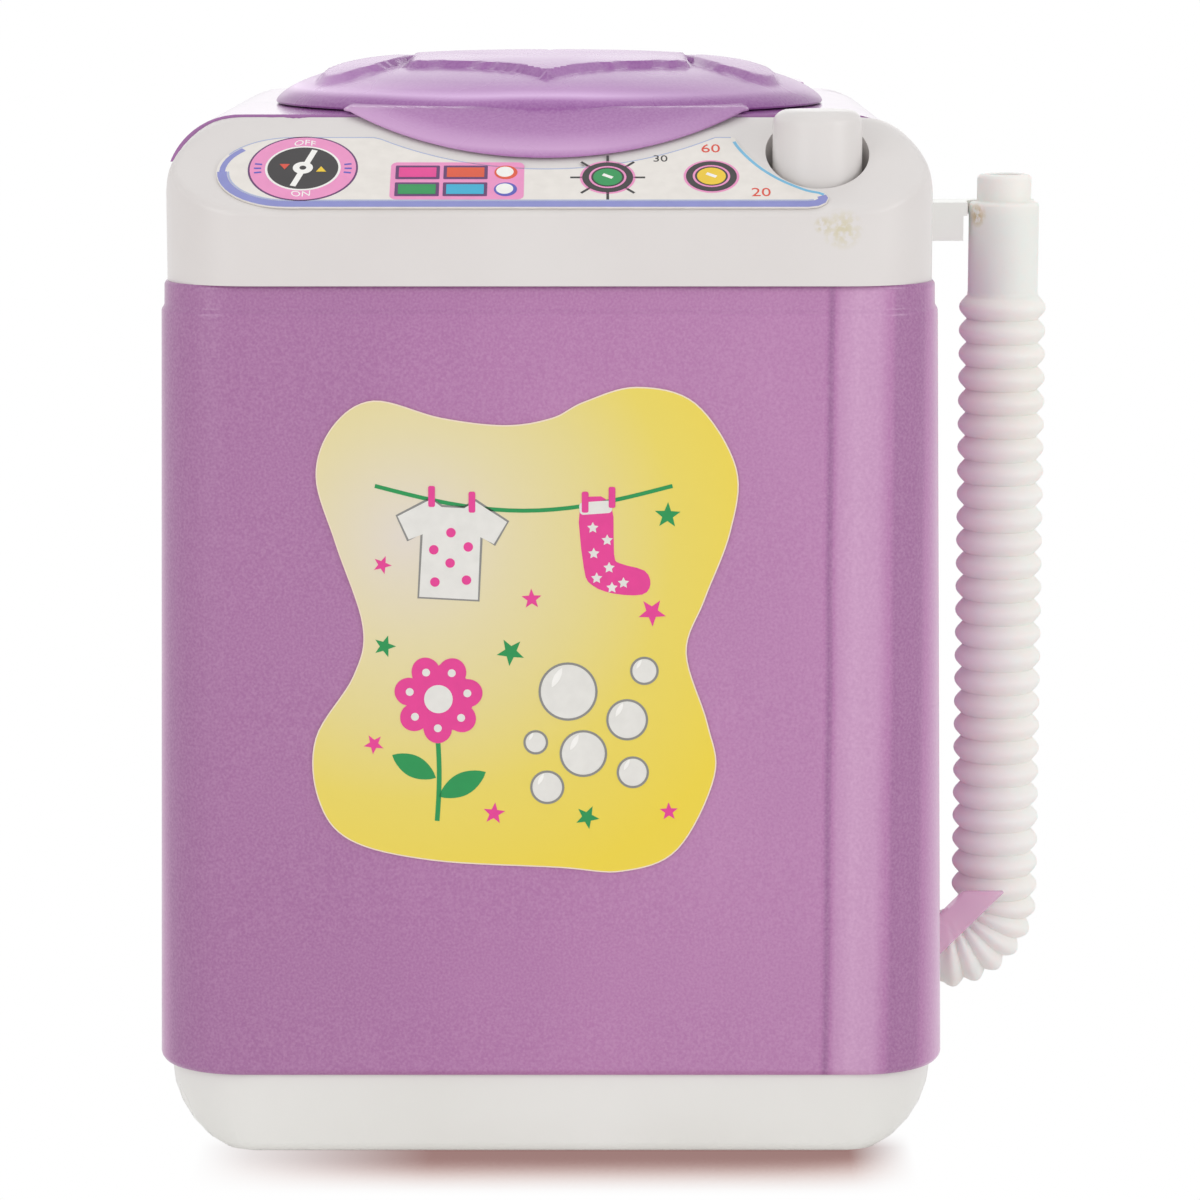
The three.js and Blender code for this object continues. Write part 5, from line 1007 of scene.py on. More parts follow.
@dataclass
class Lid:
    """The round lid with its relief, tab and hinge, in millimetres."""

    casing: Casing
    radius: float = 30.75
    low: float = 109.68
    tab_low: float = 109.9
    rise: float = 4.82
    wall: float = 1.4
    relief: float = 0.7
    heart_width: float = 15.4
    heart_length: float = 40.0
    heart_y: float = -4.2
    petal: Plan = (20.4, -6.0)
    petal_size: Plan = (4.3, 8.5)
    petal_tilt: float = 18.0
    around: int = 192
    shares: tuple[float, ...] = (
        *(0.02 * i for i in range(44)), 0.875, 0.89, 0.905, 0.92, 0.935, 0.95, 0.962, 0.973, 0.982, 0.99, 0.996,
        1.0)
    hollow_shares: tuple[float, ...] = (1.0, 0.97, 0.9, 0.8, 0.65, 0.5, 0.35, 0.2, 0.08, 0.0)

    def top(self, x: float, y: float) -> float:
        """Returns the height of the heart and the petals at a place.

        Args:
            x: the place along X from the lid's middle.
            y: the place along Y from the lid's middle; the heart's point is to the front.

        Returns:
            The height above the dome.
        """
        half = self.heart_length / 2
        u, v = abs(x) / self.heart_width, (y - self.heart_y) / half
        crown = 0.62 + 0.38 * math.sqrt(max(1 - (2 * u - 1) ** 2, 0))
        point = -1 + 0.575 * u ** 0.77
        heart = min((crown - v) * half, (v - point) * half, (1 - u) * self.heart_width)
        place = moved([(abs(x) - self.petal[0], y - self.petal[1])], 0, 0, -self.petal_tilt)[0]
        petal = 1 - math.hypot(place[0] / self.petal_size[0], place[1] / self.petal_size[1])
        share = min(max(max(heart, petal * self.petal_size[0]) / 0.6 + 0.5, 0), 1)
        return self.relief * share * share * (3 - 2 * share)

    def ring(self, share: float, height: Height) -> list[Point]:
        """Returns a ring of the dome at a share of its radius, or the dome's middle at 0."""
        flat = circle((0, 0), self.radius * share, self.around) if share else [(0, 0)]
        return [(self.casing.lid_centre[0] + x, self.casing.lid_centre[1] + y, height(x, y)) for x, y in flat]

    def shell(self) -> Piece:
        """Makes the dome with its relief above and its hollow below.

        Returns:
            The dome.
        """
        inward, roof, hollow = 1 - self.wall / self.radius, self.low + 0.25, self.rise - self.wall
        rings = [
            self.ring(s, lambda x, y, s=s: roof + self.rise * (1 - s ** 4) ** 0.7 * 0.95 + self.top(x, y))
            for s in self.shares]
        rings += [self.ring(0.997, lambda x, y: self.low + 0.06), self.ring(0.985, lambda x, y: self.low)]
        rings += [
            self.ring(s * inward, lambda x, y, s=s: self.low + hollow * (1 - s ** 2.6) ** 0.72)
            for s in self.hollow_shares]
        return Mould().loft(rings[::-1]).build("lid_moulding", LID_PEARL)

    def tab(self) -> Piece:
        """Makes the tab that follows the panel down from the rim, clear of the lid's hollow.

        Returns:
            The tab.
        """
        reach, radius, half, root_y, thickness, edge, columns, rows = 34.3, 34.0, 21.5, -14.0, 0.55, 0.25, 64, 24
        mould, strips = Mould(), []
        for i in range(columns + 1):
            x = -half + 2 * half * i / columns
            tip = radius - reach - math.sqrt(radius * radius - x * x)
            strip = []
            for k in range(rows + 1):
                y = root_y + (tip - root_y) * k / rows
                out = min(abs(y - tip), half - abs(x), edge)
                roll = edge - math.sqrt(max(edge * edge - (edge - out) ** 2, 0))
                z = self.tab_low - max(self.casing.panel_top_y - y, 0) * self.casing.slope
                place = self.casing.lid_centre[0] + x
                strip.append(mould.ring([(place, y, z + thickness - roll), (place, y, z + roll * 0.5)]))
            strips.append(strip)
        for low, high in zip(strips, strips[1:]):
            for side in (0, 1):
                for k in range(rows):
                    mould.face((low[k][side], low[k + 1][side], high[k + 1][side], high[k][side]))
            for k in (0, rows):
                mould.face((*low[k], *high[k][::-1]))
        for strip in (strips[0], strips[-1]):
            for k in range(rows):
                mould.face((*strip[k], *strip[k + 1][::-1]))
        made, inner = mould.build("tab_tool", LID_PEARL), self.radius - self.wall
        room = Mould().turned(
            [(0, 105), (inner, 105), (inner, 118), (0, 118)], self.casing.lid_centre, self.around)
        carve(made, room.build("hollow_room", LID_PEARL))
        return made

    def barrel(self) -> Piece:
        """Makes the hinge barrel, its pins and the two arms.

        Returns:
            The barrel.
        """
        (y, z), near = self.casing.hinge, self.casing.lid_centre[1] + self.radius - 2 * self.wall
        profile = [(0, -15.0), (0.9, -15.0), (1.0, -14.9), (1.0, -12.2), (1.4, -12.2), (1.6, -12.0)]
        profile += [(radius, -end) for radius, end in profile[::-1]]
        mould = Mould().turned(profile, (0, 0), 32)
        mould.points = [(c, y + a, z + b) for a, b, c in mould.points]
        made = mould.build("barrel_tool", LID_PEARL)
        outline = [(near, self.low), (y, z - 1.6), (y, z + 0.8), (near, self.low + 2.6)]
        for x in (-8.0, 8.0):
            arm = Mould().prism(outline, x - 2.2, x + 2.2, sideways)
            carve(made, arm.build("arm_tool", LID_PEARL), Carve.ADD)
        return made

    def build(self) -> None:
        """Makes the lid."""
        made = self.shell()
        carve(made, self.tab(), Carve.ADD)
        carve(made, self.barrel(), Carve.ADD)
        polish(made, 33)
        finish_piece(made, Body.LID, "lid_plastic", "lid")


@dataclass
class PowerButton:
    """The round push button and its spring, in millimetres."""

    centre: Plan
    radius: float = 4.7
    top: float = 110.4
    edge: float = 1.5
    flange: float = 98.3

    def build(self) -> None:
        """Makes the button with a softly dished top."""
        profile = [
            (0, 94.3), (2, 94.3), (2, 96.8), (6.0, 96.8), (6.2, 97.0), (6.2, self.flange - 0.2),
            (6.0, self.flange), (self.radius, self.flange)]
        profile += arc((self.radius - self.edge, self.top - self.edge), self.edge, 0, QUARTER, 8)
        profile += [(2.6, self.top - 0.05), (1.6, self.top - 0.14), (0.8, self.top - 0.2), (0, self.top - 0.22)]
        made = Mould().turned(profile, self.centre, 72).build("power_button_cap", WHITE, smooth=40)
        finish_piece(made, Body.BUTTON, "white_plastic", "power_button")

    def spring(self) -> None:
        """Makes the button's spring from the imported coil."""
        node = "button_spring"
        made = cleaned_copy("button_spring_coil", node, SPRING_STEEL)
        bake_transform(made)
        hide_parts(node)
        LOG.info("%s shortens between the cabinet and the button", made.name)


@dataclass
class Hose:
    """The ribbed hose, in millimetres."""

    port_z: float
    x: float = 50.8
    bend: float = 6.0
    bend_ribs: int = 6
    pitch: float = 2.667
    ribs: int = 26
    wave: int = 8
    crest: float = 4.9
    valley: float = 4.0
    bore: float = 3.2
    mouth: float = 2.0
    cuff: float = 8.4
    plain: float = 3.95
    plain_top: float = 98.1
    nozzle: float = 3.05
    nozzle_top: float = 101.7
    sides: int = 40

    def ring(self, travel: float, radius: float, lift: float = 0.0) -> list[Point]:
        """Returns a ring of points about the hose's middle.

        Args:
            travel: the way along the hose from the elbow's start.
            radius: of the ring.
            lift: a rib's height, which is less where the bend presses the ribs together.

        Returns:
            The points.
        """
        turn = min(max(travel / self.bend, 0), QUARTER)
        inside = 0.2 if 0 < travel < self.bend * QUARTER else 1.0
        out = Vector((math.sin(turn), 0, -math.cos(turn)))
        middle = Vector((
            self.x - self.bend + self.bend * out.x + min(travel, 0), 0,
            self.port_z + self.bend + self.bend * out.z + max(travel - self.bend * QUARTER, 0)))
        points = []
        for across, side in circle((0, 0), 1.0, self.sides):
            reach = radius + lift * (inside + (1 - inside) * (0.5 + 0.5 * across))
            points.append(tuple(middle + out * (reach * across) + Vector((0, reach * side, 0))))
        return points

    def build(self) -> None:
        """Makes the hose in one piece across its joint, with its elbow's quarter turn moulded in."""
        bend = self.bend * QUARTER
        low, top = (bend - self.port_z - self.bend + z for z in (self.plain_top, self.nozzle_top))
        rings = [
            self.ring(-self.cuff, self.valley - 0.15), self.ring(0.15 - self.cuff, self.valley),
            self.ring(-0.6, self.valley)]
        start = 0.0
        for length in [bend / self.bend_ribs] * self.bend_ribs + [self.pitch] * self.ribs:
            for i in range(1, self.wave + 1):
                lift = (self.crest - self.valley) * abs(math.sin(math.pi * i / self.wave)) ** 1.05
                rings.append(self.ring(start + length * i / self.wave, self.valley, lift))
            start += length
        end = [(self.plain, start + 0.5), *arc((self.plain - 0.5, low), 0.5, 0, QUARTER, 6)]
        end += [(self.nozzle + 0.1, low + 0.56), (self.nozzle, low + 0.75)]
        end += arc((self.nozzle - 0.6, top - 0.6), 0.6, 0, QUARTER, 6)
        end += [(self.mouth, top - 0.1), (self.mouth, low), (self.bore, low - 0.7)]
        end += [(self.bore, low - 6 * i) for i in range(1, 14)]
        end += [(self.bore, bend * i / 6) for i in range(6, -1, -1)] + [(self.bore, -self.cuff)]
        rings += [self.ring(travel, radius) for radius, travel in end]
        made = Mould().loft(rings, closed=True).build("ribbed_hose", HOSE_SOFT, smooth=60)
        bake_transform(made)
        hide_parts("hose_elbow", "hose_upper")
        LOG.info("%s crosses the hose joint with %d faces", made.name, len(made.data.polygons))


# Prints


class Ink(Enum):
    """The colours of the prints."""

    PINK = (232, 62, 150)
    ROSE = (240, 150, 200)
    GREEN = (24, 148, 78)
    CHALK = (232, 231, 226)
    GREY = (140, 139, 136)
    PAPER = (250, 249, 245)
    CREAM = (237, 232, 226)
    EDGE = (246, 228, 206)
    BLACK = (38, 34, 36)
    PLUM = (92, 44, 104)
    ORANGE = (226, 84, 48)
    CYAN = (48, 176, 214)
    RED = (222, 74, 52)
    YELLOW = (242, 204, 40)
    BLUE = (86, 88, 188)
    SKY = (120, 190, 226)
    VIOLET = (140, 144, 206)
    HAZE = (176, 186, 216)

    def material(self) -> bpy.types.Material:
        """Makes the ink's material once and returns it."""
        return Print(f"print_{self.name.lower()}", self.value).material()


def polar(centre: Plan, reaches: Sequence[float], turn: float) -> list[Plan]:
    """Outlines a form by its reach at even angles from a first one."""
    angles = [turn + 4 * QUARTER * i / len(reaches) for i in range(len(reaches))]
    return [(centre[0] + r * math.cos(a), centre[1] + r * math.sin(a)) for r, a in zip(reaches, angles)]


def star(centre: Plan, radius: float, turn: float = 90.0, waist: float = 0.42) -> list[Plan]:
    """Outlines a star of five points, the first one at an angle in degrees."""
    return polar(centre, [radius, radius * waist] * 5, math.radians(turn))


def moved(outline: Sequence[Plan], u: float, v: float, turn: float = 0.0, size: float = 1.0) -> list[Plan]:
    """Turns an outline by an angle in degrees, sizes it and moves it."""
    c, s = math.cos(math.radians(turn)), math.sin(math.radians(turn))
    return [(u + size * (a * c - b * s), v + size * (a * s + b * c)) for a, b in outline]


def leaf(u: float, v: float, length: float, width: float, turn: float) -> list[Plan]:
    """Outlines a pointed leaf from its stem, turned by an angle in degrees."""
    side = [(length * i / 12, width / 2 * math.sin(math.pi * i / 12) ** 0.8) for i in range(13)]
    return moved([(a, -b) for a, b in side] + side[-2:0:-1], u, v, turn)


def tile(left: float, low: float, right: float, high: float, radius: float) -> list[Plan]:
    """Outlines a rounded rectangle by its sides."""
    return moved(
        rounded_plan((right - left) / 2, (high - low) / 2, radius, 5), (left + right) / 2, (low + high) / 2)


def offset(before: Plan, place: Plan, after: Plan, reach: float) -> Plan:
    """Moves a place to the left of the way between its neighbours.

    Args:
        before: the neighbour before it.
        place: the place.
        after: the neighbour after it.
        reach: how far it moves, below 0 to the right.

    Returns:
        The new place.
    """
    du, dv = after[0] - before[0], after[1] - before[1]
    size = math.hypot(du, dv) or 1.0
    return (place[0] - dv / size * reach, place[1] + du / size * reach)


def stroke(points: Sequence[Plan], width: float) -> list[Plan]:
    """Outlines a line of even width.

    Args:
        points: places along its middle.
        width: its width.

    Returns:
        The outline, counter-clockwise.
    """
    spans = list(zip([points[0], *points[:-1]], points, [*points[1:], points[-1]]))
    left, right = ([offset(*span, reach) for span in spans] for reach in (width / 2, -width / 2))
    return right + left[::-1]


def area(outline: Sequence[Plan]) -> float:
    """Returns twice an outline's area, above 0 where it runs counter-clockwise."""
    return sum(a[0] * b[1] - b[0] * a[1] for a, b in zip(outline, [*outline[1:], outline[0]]))


def shrunk(outline: Sequence[Plan], inset: float) -> list[Plan]:
    """Moves a smooth outline inward."""
    reach, after = math.copysign(inset, area(outline)), [*outline[1:], outline[0]]
    return [offset(outline[i - 1], place, after[i], reach) for i, place in enumerate(outline)]


def curve_through(points: Sequence[Plan], steps: int) -> list[Plan]:
    """Returns a smooth closed curve through points.

    Args:
        points: places on the curve.
        steps: segments between two of them.

    Returns:
        The curve's points.
    """
    made = []
    for i in range(len(points)):
        p0, p1, p2, p3 = (points[(i + k - 1) % len(points)] for k in range(4))
        for t in (step / steps for step in range(steps)):
            made.append(tuple(
                0.5 * (2 * p1[n] + (p2[n] - p0[n]) * t + (2 * p0[n] - 5 * p1[n] + 4 * p2[n] - p3[n]) * t * t
                       + (3 * p1[n] - p0[n] - 3 * p2[n] + p3[n]) * t ** 3) for n in (0, 1)))
    return made


class Sheet:
    """A flat print, built up of thin layers on a face of the casing."""

    gap: float = 0.05
    ground: float = 0.2
    layer: float = 0.02

    def __init__(self, name: str, place: Place, outline: Sequence[Plan], ink: Ink) -> None:
        """Starts a print.

        Args:
            name: the piece's name.
            place: takes a place on the print and a height above the face to a point.
            outline: the sheet's outline.
            ink: its colour.
        """
        self.name, self.place = name, place
        self.mould, self.inks = Mould(), []
        self.slab(outline, ink, self.gap, self.ground)

    def slot(self, ink: Ink | Finish) -> int:
        """Returns an ink's slot."""
        self.inks += [] if ink in self.inks else [ink]
        return self.inks.index(ink)

    def span(self, floor: int) -> Plan:
        """Returns the underside and the top of a layer by its number."""
        return self.ground + self.layer * floor, self.ground + self.layer * (floor + 1)

    def slab(self, outline: Sequence[Plan], ink: Ink | Finish, low: float, high: float) -> None:
        """Adds a thin plate between two heights."""
        points = outline if area(outline) > 0 else outline[::-1]
        self.mould.prism(points, low, high, self.place, self.slot(ink))

    def plate(self, outline: Sequence[Plan], ink: Ink | Finish, floor: int) -> None:
        """Adds a thin plate in a layer."""
        self.slab(outline, ink, *self.span(floor))

    def hoop(self, centre: Plan, outer: float, inner: float, ink: Ink, floor: int) -> None:
        """Adds a thin round band in a layer.

        Args:
            centre: its middle.
            outer: its outer radius.
            inner: its inner radius.
            ink: its colour.
            floor: its layer.
        """
        low, high = self.span(floor)
        corners = ((inner, low), (outer, low), (outer, high), (inner, high))
        rings = [[self.place(a, b, lift) for a, b in circle(centre, radius)] for radius, lift in corners]
        self.mould.loft(rings, self.slot(ink), closed=True)

    def words(self, text: str, u: float, v: float, size: float, ink: Ink, floor: int, bend: float = 0.0) -> None:
        """Adds plain figures or ON and OFF, set about a middle.

        Args:
            text: what they say.
            u: their middle across.
            v: their middle up.
            size: their height.
            ink: their colour.
            floor: their layer.
            bend: how far their ends drop, for letters round a dial.
        """
        low, high = self.span(floor)
        curve = bpy.data.curves.new(text, "FONT")
        curve.body, curve.size, curve.resolution_u = text, size * 1.4, 3
        curve.align_x, curve.align_y = "CENTER", "CENTER"
        holder = show(text, curve)
        mesh = bpy.data.meshes.new_from_object(holder.evaluated_get(bpy.context.evaluated_depsgraph_get()))
        form = bmesh.new()
        form.from_mesh(mesh)
        bmesh.ops.remove_doubles(form, verts=form.verts, dist=0.0001)
        slot, tops, bases = self.slot(ink), {}, {}
        half = max(abs(vert.co.x) for vert in form.verts)
        for vert in form.verts:
            a, b = u + vert.co.x, v + vert.co.y - bend * (vert.co.x / half) ** 2
            tops[vert.index], bases[vert.index] = self.mould.ring([self.place(a, b, end) for end in (high, low)])
        for face in form.faces:
            corners = [vert.index for vert in face.verts][::-1 if face.normal.z < 0 else 1]
            self.mould.face([tops[i] for i in corners], slot)
            self.mould.face([bases[i] for i in corners[::-1]], slot)
        for edge in form.edges:
            if len(edge.link_faces) == 1:
                a, b = (vert.index for vert in edge.verts)
                self.mould.face((tops[a], tops[b], bases[b], bases[a]), slot)
        form.free()
        bpy.data.objects.remove(holder)
        bpy.data.meshes.remove(mesh)

    def build(self, slot: str, node: str) -> None:
        """Makes the print."""
        finish_piece(self.mould.build(self.name, *self.inks, smooth=30), Body.CABINET, slot, node)


@dataclass
class FrontSticker:
    """The yellow sticker with a washing line, a flower and bubbles, in millimetres."""

    casing: Casing
    width: float = 44.6
    height: float = 51.3
    centre: Plan = (-2.65, 56.5)
    shares: tuple[Plan, ...] = (
        (-0.35, 0.472), (-0.192, 0.437), (-0.043, 0.422), (0.066, 0.437), (0.141, 0.47), (0.264, 0.5),
        (0.401, 0.467), (0.497, 0.335), (0.484, 0.204), (0.424, 0.064), (0.382, -0.045), (0.432, -0.191),
        (0.449, -0.301), (0.362, -0.454), (0.232, -0.5), (0.079, -0.492), (-0.219, -0.477), (-0.412, -0.435),
        (-0.487, -0.349), (-0.492, -0.222), (-0.402, -0.093), (-0.379, 0.01), (-0.441, 0.179), (-0.486, 0.317),
        (-0.446, 0.419))
    shirt: tuple[Plan, ...] = (
        (-2.1, 4.6), (-1.0, 3.9), (1.0, 3.9), (2.1, 4.6), (5.3, 2.7), (4.1, 0.3), (2.9, 1.0), (2.9, -5.0),
        (-2.9, -5.0), (-2.9, 1.0), (-4.1, 0.3), (-5.3, 2.7))
    sock: tuple[Plan, ...] = (
        (-1.5, 4.6), (1.5, 4.6), (1.5, -0.6), (2.0, -1.6), (4.4, -2.5), (4.9, -3.9), (4.0, -4.9), (1.2, -4.6),
        (-0.9, -3.6), (-1.6, -1.8))
    flower: Plan = (-9.0, -7.2)

    def place(self, u: float, v: float, lift: float) -> Point:
        """Takes a place on the sticker and a height above the shell's front to a point."""
        z = self.centre[1] + v
        return (self.centre[0] + u, self.casing.lean(z) - self.casing.shell_half_depth - lift, z)

    def build(self) -> None:
        """Makes the sticker and its print."""
        outline = curve_through([(self.width * a, self.height * b) for a, b in self.shares], 8)
        sheet = Sheet("front_sticker_print", self.place, outline, Ink.EDGE)
        sheet.plate(shrunk(outline, 0.14), Gradient("front_gradient"), 0)
        self.laundry(sheet)
        self.garden(sheet)
        sheet.build("front_print", "front_sticker")

    def laundry(self, sheet: Sheet) -> None:
        """Draws a shirt and a sock on their line.

        Args:
            sheet: the print.
        """
        line = [(-15.5 + 1.55 * i, 15.3 - 2.6 * math.sin(math.pi * i / 20)) for i in range(21)]
        sheet.plate(stroke(line, 0.42), Ink.GREEN, 1)
        sheet.plate(moved(self.shirt, -7.6, 8.9, -3, 1.12), Ink.GREY, 1)
        sheet.plate(moved(shrunk(self.shirt, 0.22), -7.6, 8.9, -3, 1.12), Ink.CHALK, 2)
        for place in ((-9.4, 8.6), (-7.6, 10.4), (-5.8, 8.9), (-7.7, 7.2), (-9.3, 5.2), (-6.0, 5.4)):
            sheet.plate(circle(place, 0.5, 20), Ink.PINK, 3)
        sheet.plate(moved(curve_through(self.sock, 3), 7.8, 8.7, 4, 1.05), Ink.PINK, 1)
        sheet.plate(moved(tile(-1.62, 3.5, 1.62, 4.75, 0.4), 7.8, 8.7, 4, 1.05), Ink.CHALK, 2)
        for place in ((7.2, 10.9), (8.7, 9.6), (7.3, 8.2), (8.9, 6.7), (7.6, 5.6), (10.4, 5.1), (9.2, 4.6)):
            sheet.plate(star(place, 0.62, 90, 0.5), Ink.CHALK, 2)
        for u, v in ((-9.6, 14.2), (-5.4, 13.6), (6.4, 13.6), (9.2, 14.1)):
            sheet.plate(tile(u - 0.35, v - 1.1, u + 0.35, v + 1.1, 0.2), Ink.PINK, 3)

    def garden(self, sheet: Sheet) -> None:
        """Draws the flower, the bubbles and the stars.

        Args:
            sheet: the print.
        """
        petals, turn, fine = 7, 0.2, 120
        stem = [(-9.2 + 0.25 * math.sin(i / 3), -20.2 + 1.1 * i) for i in range(12)]
        sheet.plate(stroke(stem, 0.5), Ink.GREEN, 1)
        sheet.plate(leaf(-9.0, -17.6, 5.6, 2.4, 28), Ink.GREEN, 1)
        sheet.plate(leaf(-9.3, -15.6, 5.2, 2.3, 152), Ink.GREEN, 1)
        waves = [abs(math.cos(petals * math.pi * i / fine)) ** 0.7 for i in range(fine)]
        sheet.plate(polar(self.flower, [4.7 * (0.72 + 0.28 * wave) for wave in waves], turn), Ink.PINK, 2)
        sheet.plate(circle(self.flower, 1.5, 30), Ink.CHALK, 3)
        for place in polar(self.flower, [3.1] * petals, turn):
            sheet.plate(circle(place, 0.42, 16), Ink.CHALK, 3)
        for u, v, radius in (
            (4.6, -6.4, 3.1), (10.8, -9.4, 2.2), (6.2, -13.0, 2.5), (12.6, -4.2, 1.5), (11.4, -15.0, 1.7),
            (1.2, -11.8, 1.3), (2.4, -16.6, 1.8)):
            sheet.plate(circle((u, v), radius), Ink.CHALK, 1)
            sheet.hoop((u, v), radius, radius - 0.24, Ink.GREY, 2)
            glint = leaf(u - 0.55 * radius, v + 0.15 * radius, 0.75 * radius, 0.22 * radius, 62)
            sheet.plate(glint, Ink.PAPER, 2)
        for u, v, radius, ink in (
            (-1.4, -2.2, 1.5, Ink.GREEN), (-14.6, -1.6, 1.2, Ink.GREEN), (13.4, 2.0, 1.5, Ink.PINK),
            (-3.2, -19.4, 1.2, Ink.PINK), (-15.8, -12.0, 1.1, Ink.PINK), (0.8, 3.4, 1.1, Ink.PINK),
            (15.0, 12.2, 1.4, Ink.GREEN), (-14.8, 7.0, 1.0, Ink.PINK), (6.6, -19.8, 1.3, Ink.GREEN),
            (15.2, -19.2, 1.0, Ink.PINK)):
            sheet.plate(star((u, v), radius, 76 + 20 * u), ink, 1)


@dataclass
class ControlPanel:
    """The printed panel with its dials and lights, in millimetres; v runs up the slope."""

    casing: Casing
    left_x: float = -27.0
    low: float = 0.15
    end_size: Plan = (7.7, 6.3)
    tip: tuple[Plan, ...] = ((26.8, 0.15), (27.9, 0.35), (28.7, 0.95), (29.0, 1.8), (28.7, 2.55))
    well_edge: tuple[Plan, ...] = (
        (28.9, 2.4), (28.1, 2.95), (26.9, 3.35), (25.4, 4.3), (23.9, 5.5), (22.4, 7.1), (21.2, 8.8), (20.1, 10.8),
        (19.5, 12.5), (19.1, 14.4))
    dial: Plan = (-25.7, 7.0)

    def place(self, u: float, v: float, lift: float) -> Point:
        """Takes a place on the panel and a height above it to a point."""
        (y, z), = moved([(v, lift)], -self.casing.cover_half_depth, self.casing.front_top, self.tilt)
        return (u, y, z)

    @property
    def tilt(self) -> float:
        """The panel's slope in degrees."""
        return math.degrees(math.atan(self.casing.slope))

    def outline(self) -> list[Plan]:
        """Outlines the panel's sticker between its round left end, the well and the lid's tab.

        Returns:
            The outline.
        """
        top, radius = self.low + 2 * self.end_size[1], 35.2
        start, end = self.well_edge[-2][0] - 0.4, -21.9
        points = [
            (self.left_x + self.end_size[0] * a, top - self.end_size[1] + self.end_size[1] * b)
            for a, b in arc((0, 0), 1.0, QUARTER, 3 * QUARTER, 24)]
        points += [*self.tip, *curve_through(self.well_edge, 3)[3:3 * len(self.well_edge) - 5]]
        for x in (start + (end - start) * i / 48 for i in range(49)):
            y = -0.3 - math.sqrt(radius * radius - (x + 0.4) ** 2)
            up = (y + self.casing.cover_half_depth) / math.cos(math.radians(self.tilt))
            points.append((x, min(up, top)))
        return points

    def build(self) -> None:
        """Makes the panel's sticker and its print."""
        outline = self.outline()
        turn = len(outline) - 49
        sheet = Sheet("control_panel_print", self.place, outline, Ink.CREAM)
        rim, inner, thin, fine = (shrunk(outline, inset) for inset in (0.6, 1.25, 0.28, 0.14))
        for points, width, ink in (
            (rim[6:13], 0.6, Ink.VIOLET), (rim[12:30], 1.0, Ink.VIOLET), (inner[12:27], 0.2, Ink.HAZE),
            (thin[29:turn - 1], 0.34, Ink.SKY), ([*fine[turn:], *fine[:9]], 0.14, Ink.HAZE)):
            sheet.plate(stroke(points, width), ink, 0)
        self.main_dial(sheet)
        self.keys(sheet)
        self.small_dial(sheet, 6.1, 5.43, Ink.GREEN, 8)
        self.small_dial(sheet, 16.9, 5.61, Ink.YELLOW, 0)
        sheet.words("30", 11.6, 8.75, 1.15, Ink.BLACK, 0)
        sheet.words("60", 16.9, 10.55, 1.5, Ink.RED, 0)
        sheet.words("20", 22.0, 2.75, 1.5, Ink.RED, 0)
        sheet.build("panel_print", "panel_sticker")

    def main_dial(self, sheet: Sheet) -> None:
        """Draws the large dial at the left.

        Args:
            sheet: the print.
        """
        u, v = self.dial
        for radius, count, ink, floor in (
            (5.75, 64, Ink.PLUM, 0), (5.55, 64, Ink.ROSE, 1), (3.95, 56, Ink.PAPER, 2), (3.7, 56, Ink.BLACK, 3)):
            sheet.plate(circle(self.dial, radius, count), ink, floor)
        sheet.words("OFF", u, v + 4.62, 0.95, Ink.PAPER, 2, 0.35)
        sheet.words("ON", u, v - 4.62, 0.95, Ink.PAPER, 2, -0.2)
        for angle in (171, 180, 189, -9, 0, 9):
            sheet.plate(moved(stroke([(4.35, 0), (5.1, 0)], 0.24), u, v, angle), Ink.BLUE, 2)
        sheet.plate(stroke([(u + 1.1, v + 3.2), (u - 0.9, v - 3.2)], 0.62), Ink.PAPER, 4)
        sheet.plate(circle(self.dial, 1.05), Ink.PAPER, 5)
        sheet.plate(circle(self.dial, 0.35, 20), Ink.BLACK, 6)
        sheet.plate(moved([(-2.45, 0.7), (-1.4, 0.7), (-1.9, -0.25)], u, v), Ink.RED, 4)
        sheet.plate(moved([(1.4, -0.65), (2.45, -0.65), (1.9, 0.3)], u, v), Ink.YELLOW, 4)

    def keys(self, sheet: Sheet) -> None:
        """Draws the key block with its two round lights.

        Args:
            sheet: the print.
        """
        sheet.plate(tile(-16.5, 1.55, -2.6, 8.1, 0.7), Ink.ROSE, 0)
        for left, low, ink in (
            (-16.0, 5.1, Ink.PINK), (-11.0, 5.1, Ink.ORANGE), (-16.0, 2.1, Ink.GREEN), (-11.0, 2.1, Ink.CYAN)):
            sheet.plate(tile(left, low, left + 4.6, low + 2.4, 0.12), Ink.PLUM, 1)
            sheet.plate(tile(left + 0.35, low + 0.35, left + 4.25, low + 2.05, 0.08), ink, 2)
        for v, ink in ((6.3, Ink.ORANGE), (3.3, Ink.BLUE)):
            sheet.plate(circle((-4.5, v), 1.2, 32), ink, 1)
            sheet.plate(circle((-4.6, v + 0.08), 0.9, 32), Ink.PAPER, 2)

    def small_dial(self, sheet: Sheet, u: float, v: float, ink: Ink, ticks: int) -> None:
        """Draws a small round dial.

        Args:
            sheet: the print.
            u: its middle across.
            v: its middle up.
            ink: its inner colour.
            ticks: marks around it.
        """
        for i in range(ticks):
            sheet.plate(moved(stroke([(2.5, 0), (3.9, 0)], 0.28), u, v, 360 * i / ticks), Ink.BLACK, 0)
        sheet.plate(circle((u, v), 2.9), Ink.ROSE, 0)
        sheet.plate(circle((u, v), 2.65), Ink.BLACK, 1)
        sheet.hoop((u, v), 1.95, 1.72, Ink.ROSE, 2)
        sheet.plate(circle((u, v), 1.5), ink, 2)
        sheet.plate(stroke([(u - 0.5, v + 0.45), (u + 0.5, v - 0.15)], 0.42), Ink.PAPER, 3)


# Studio


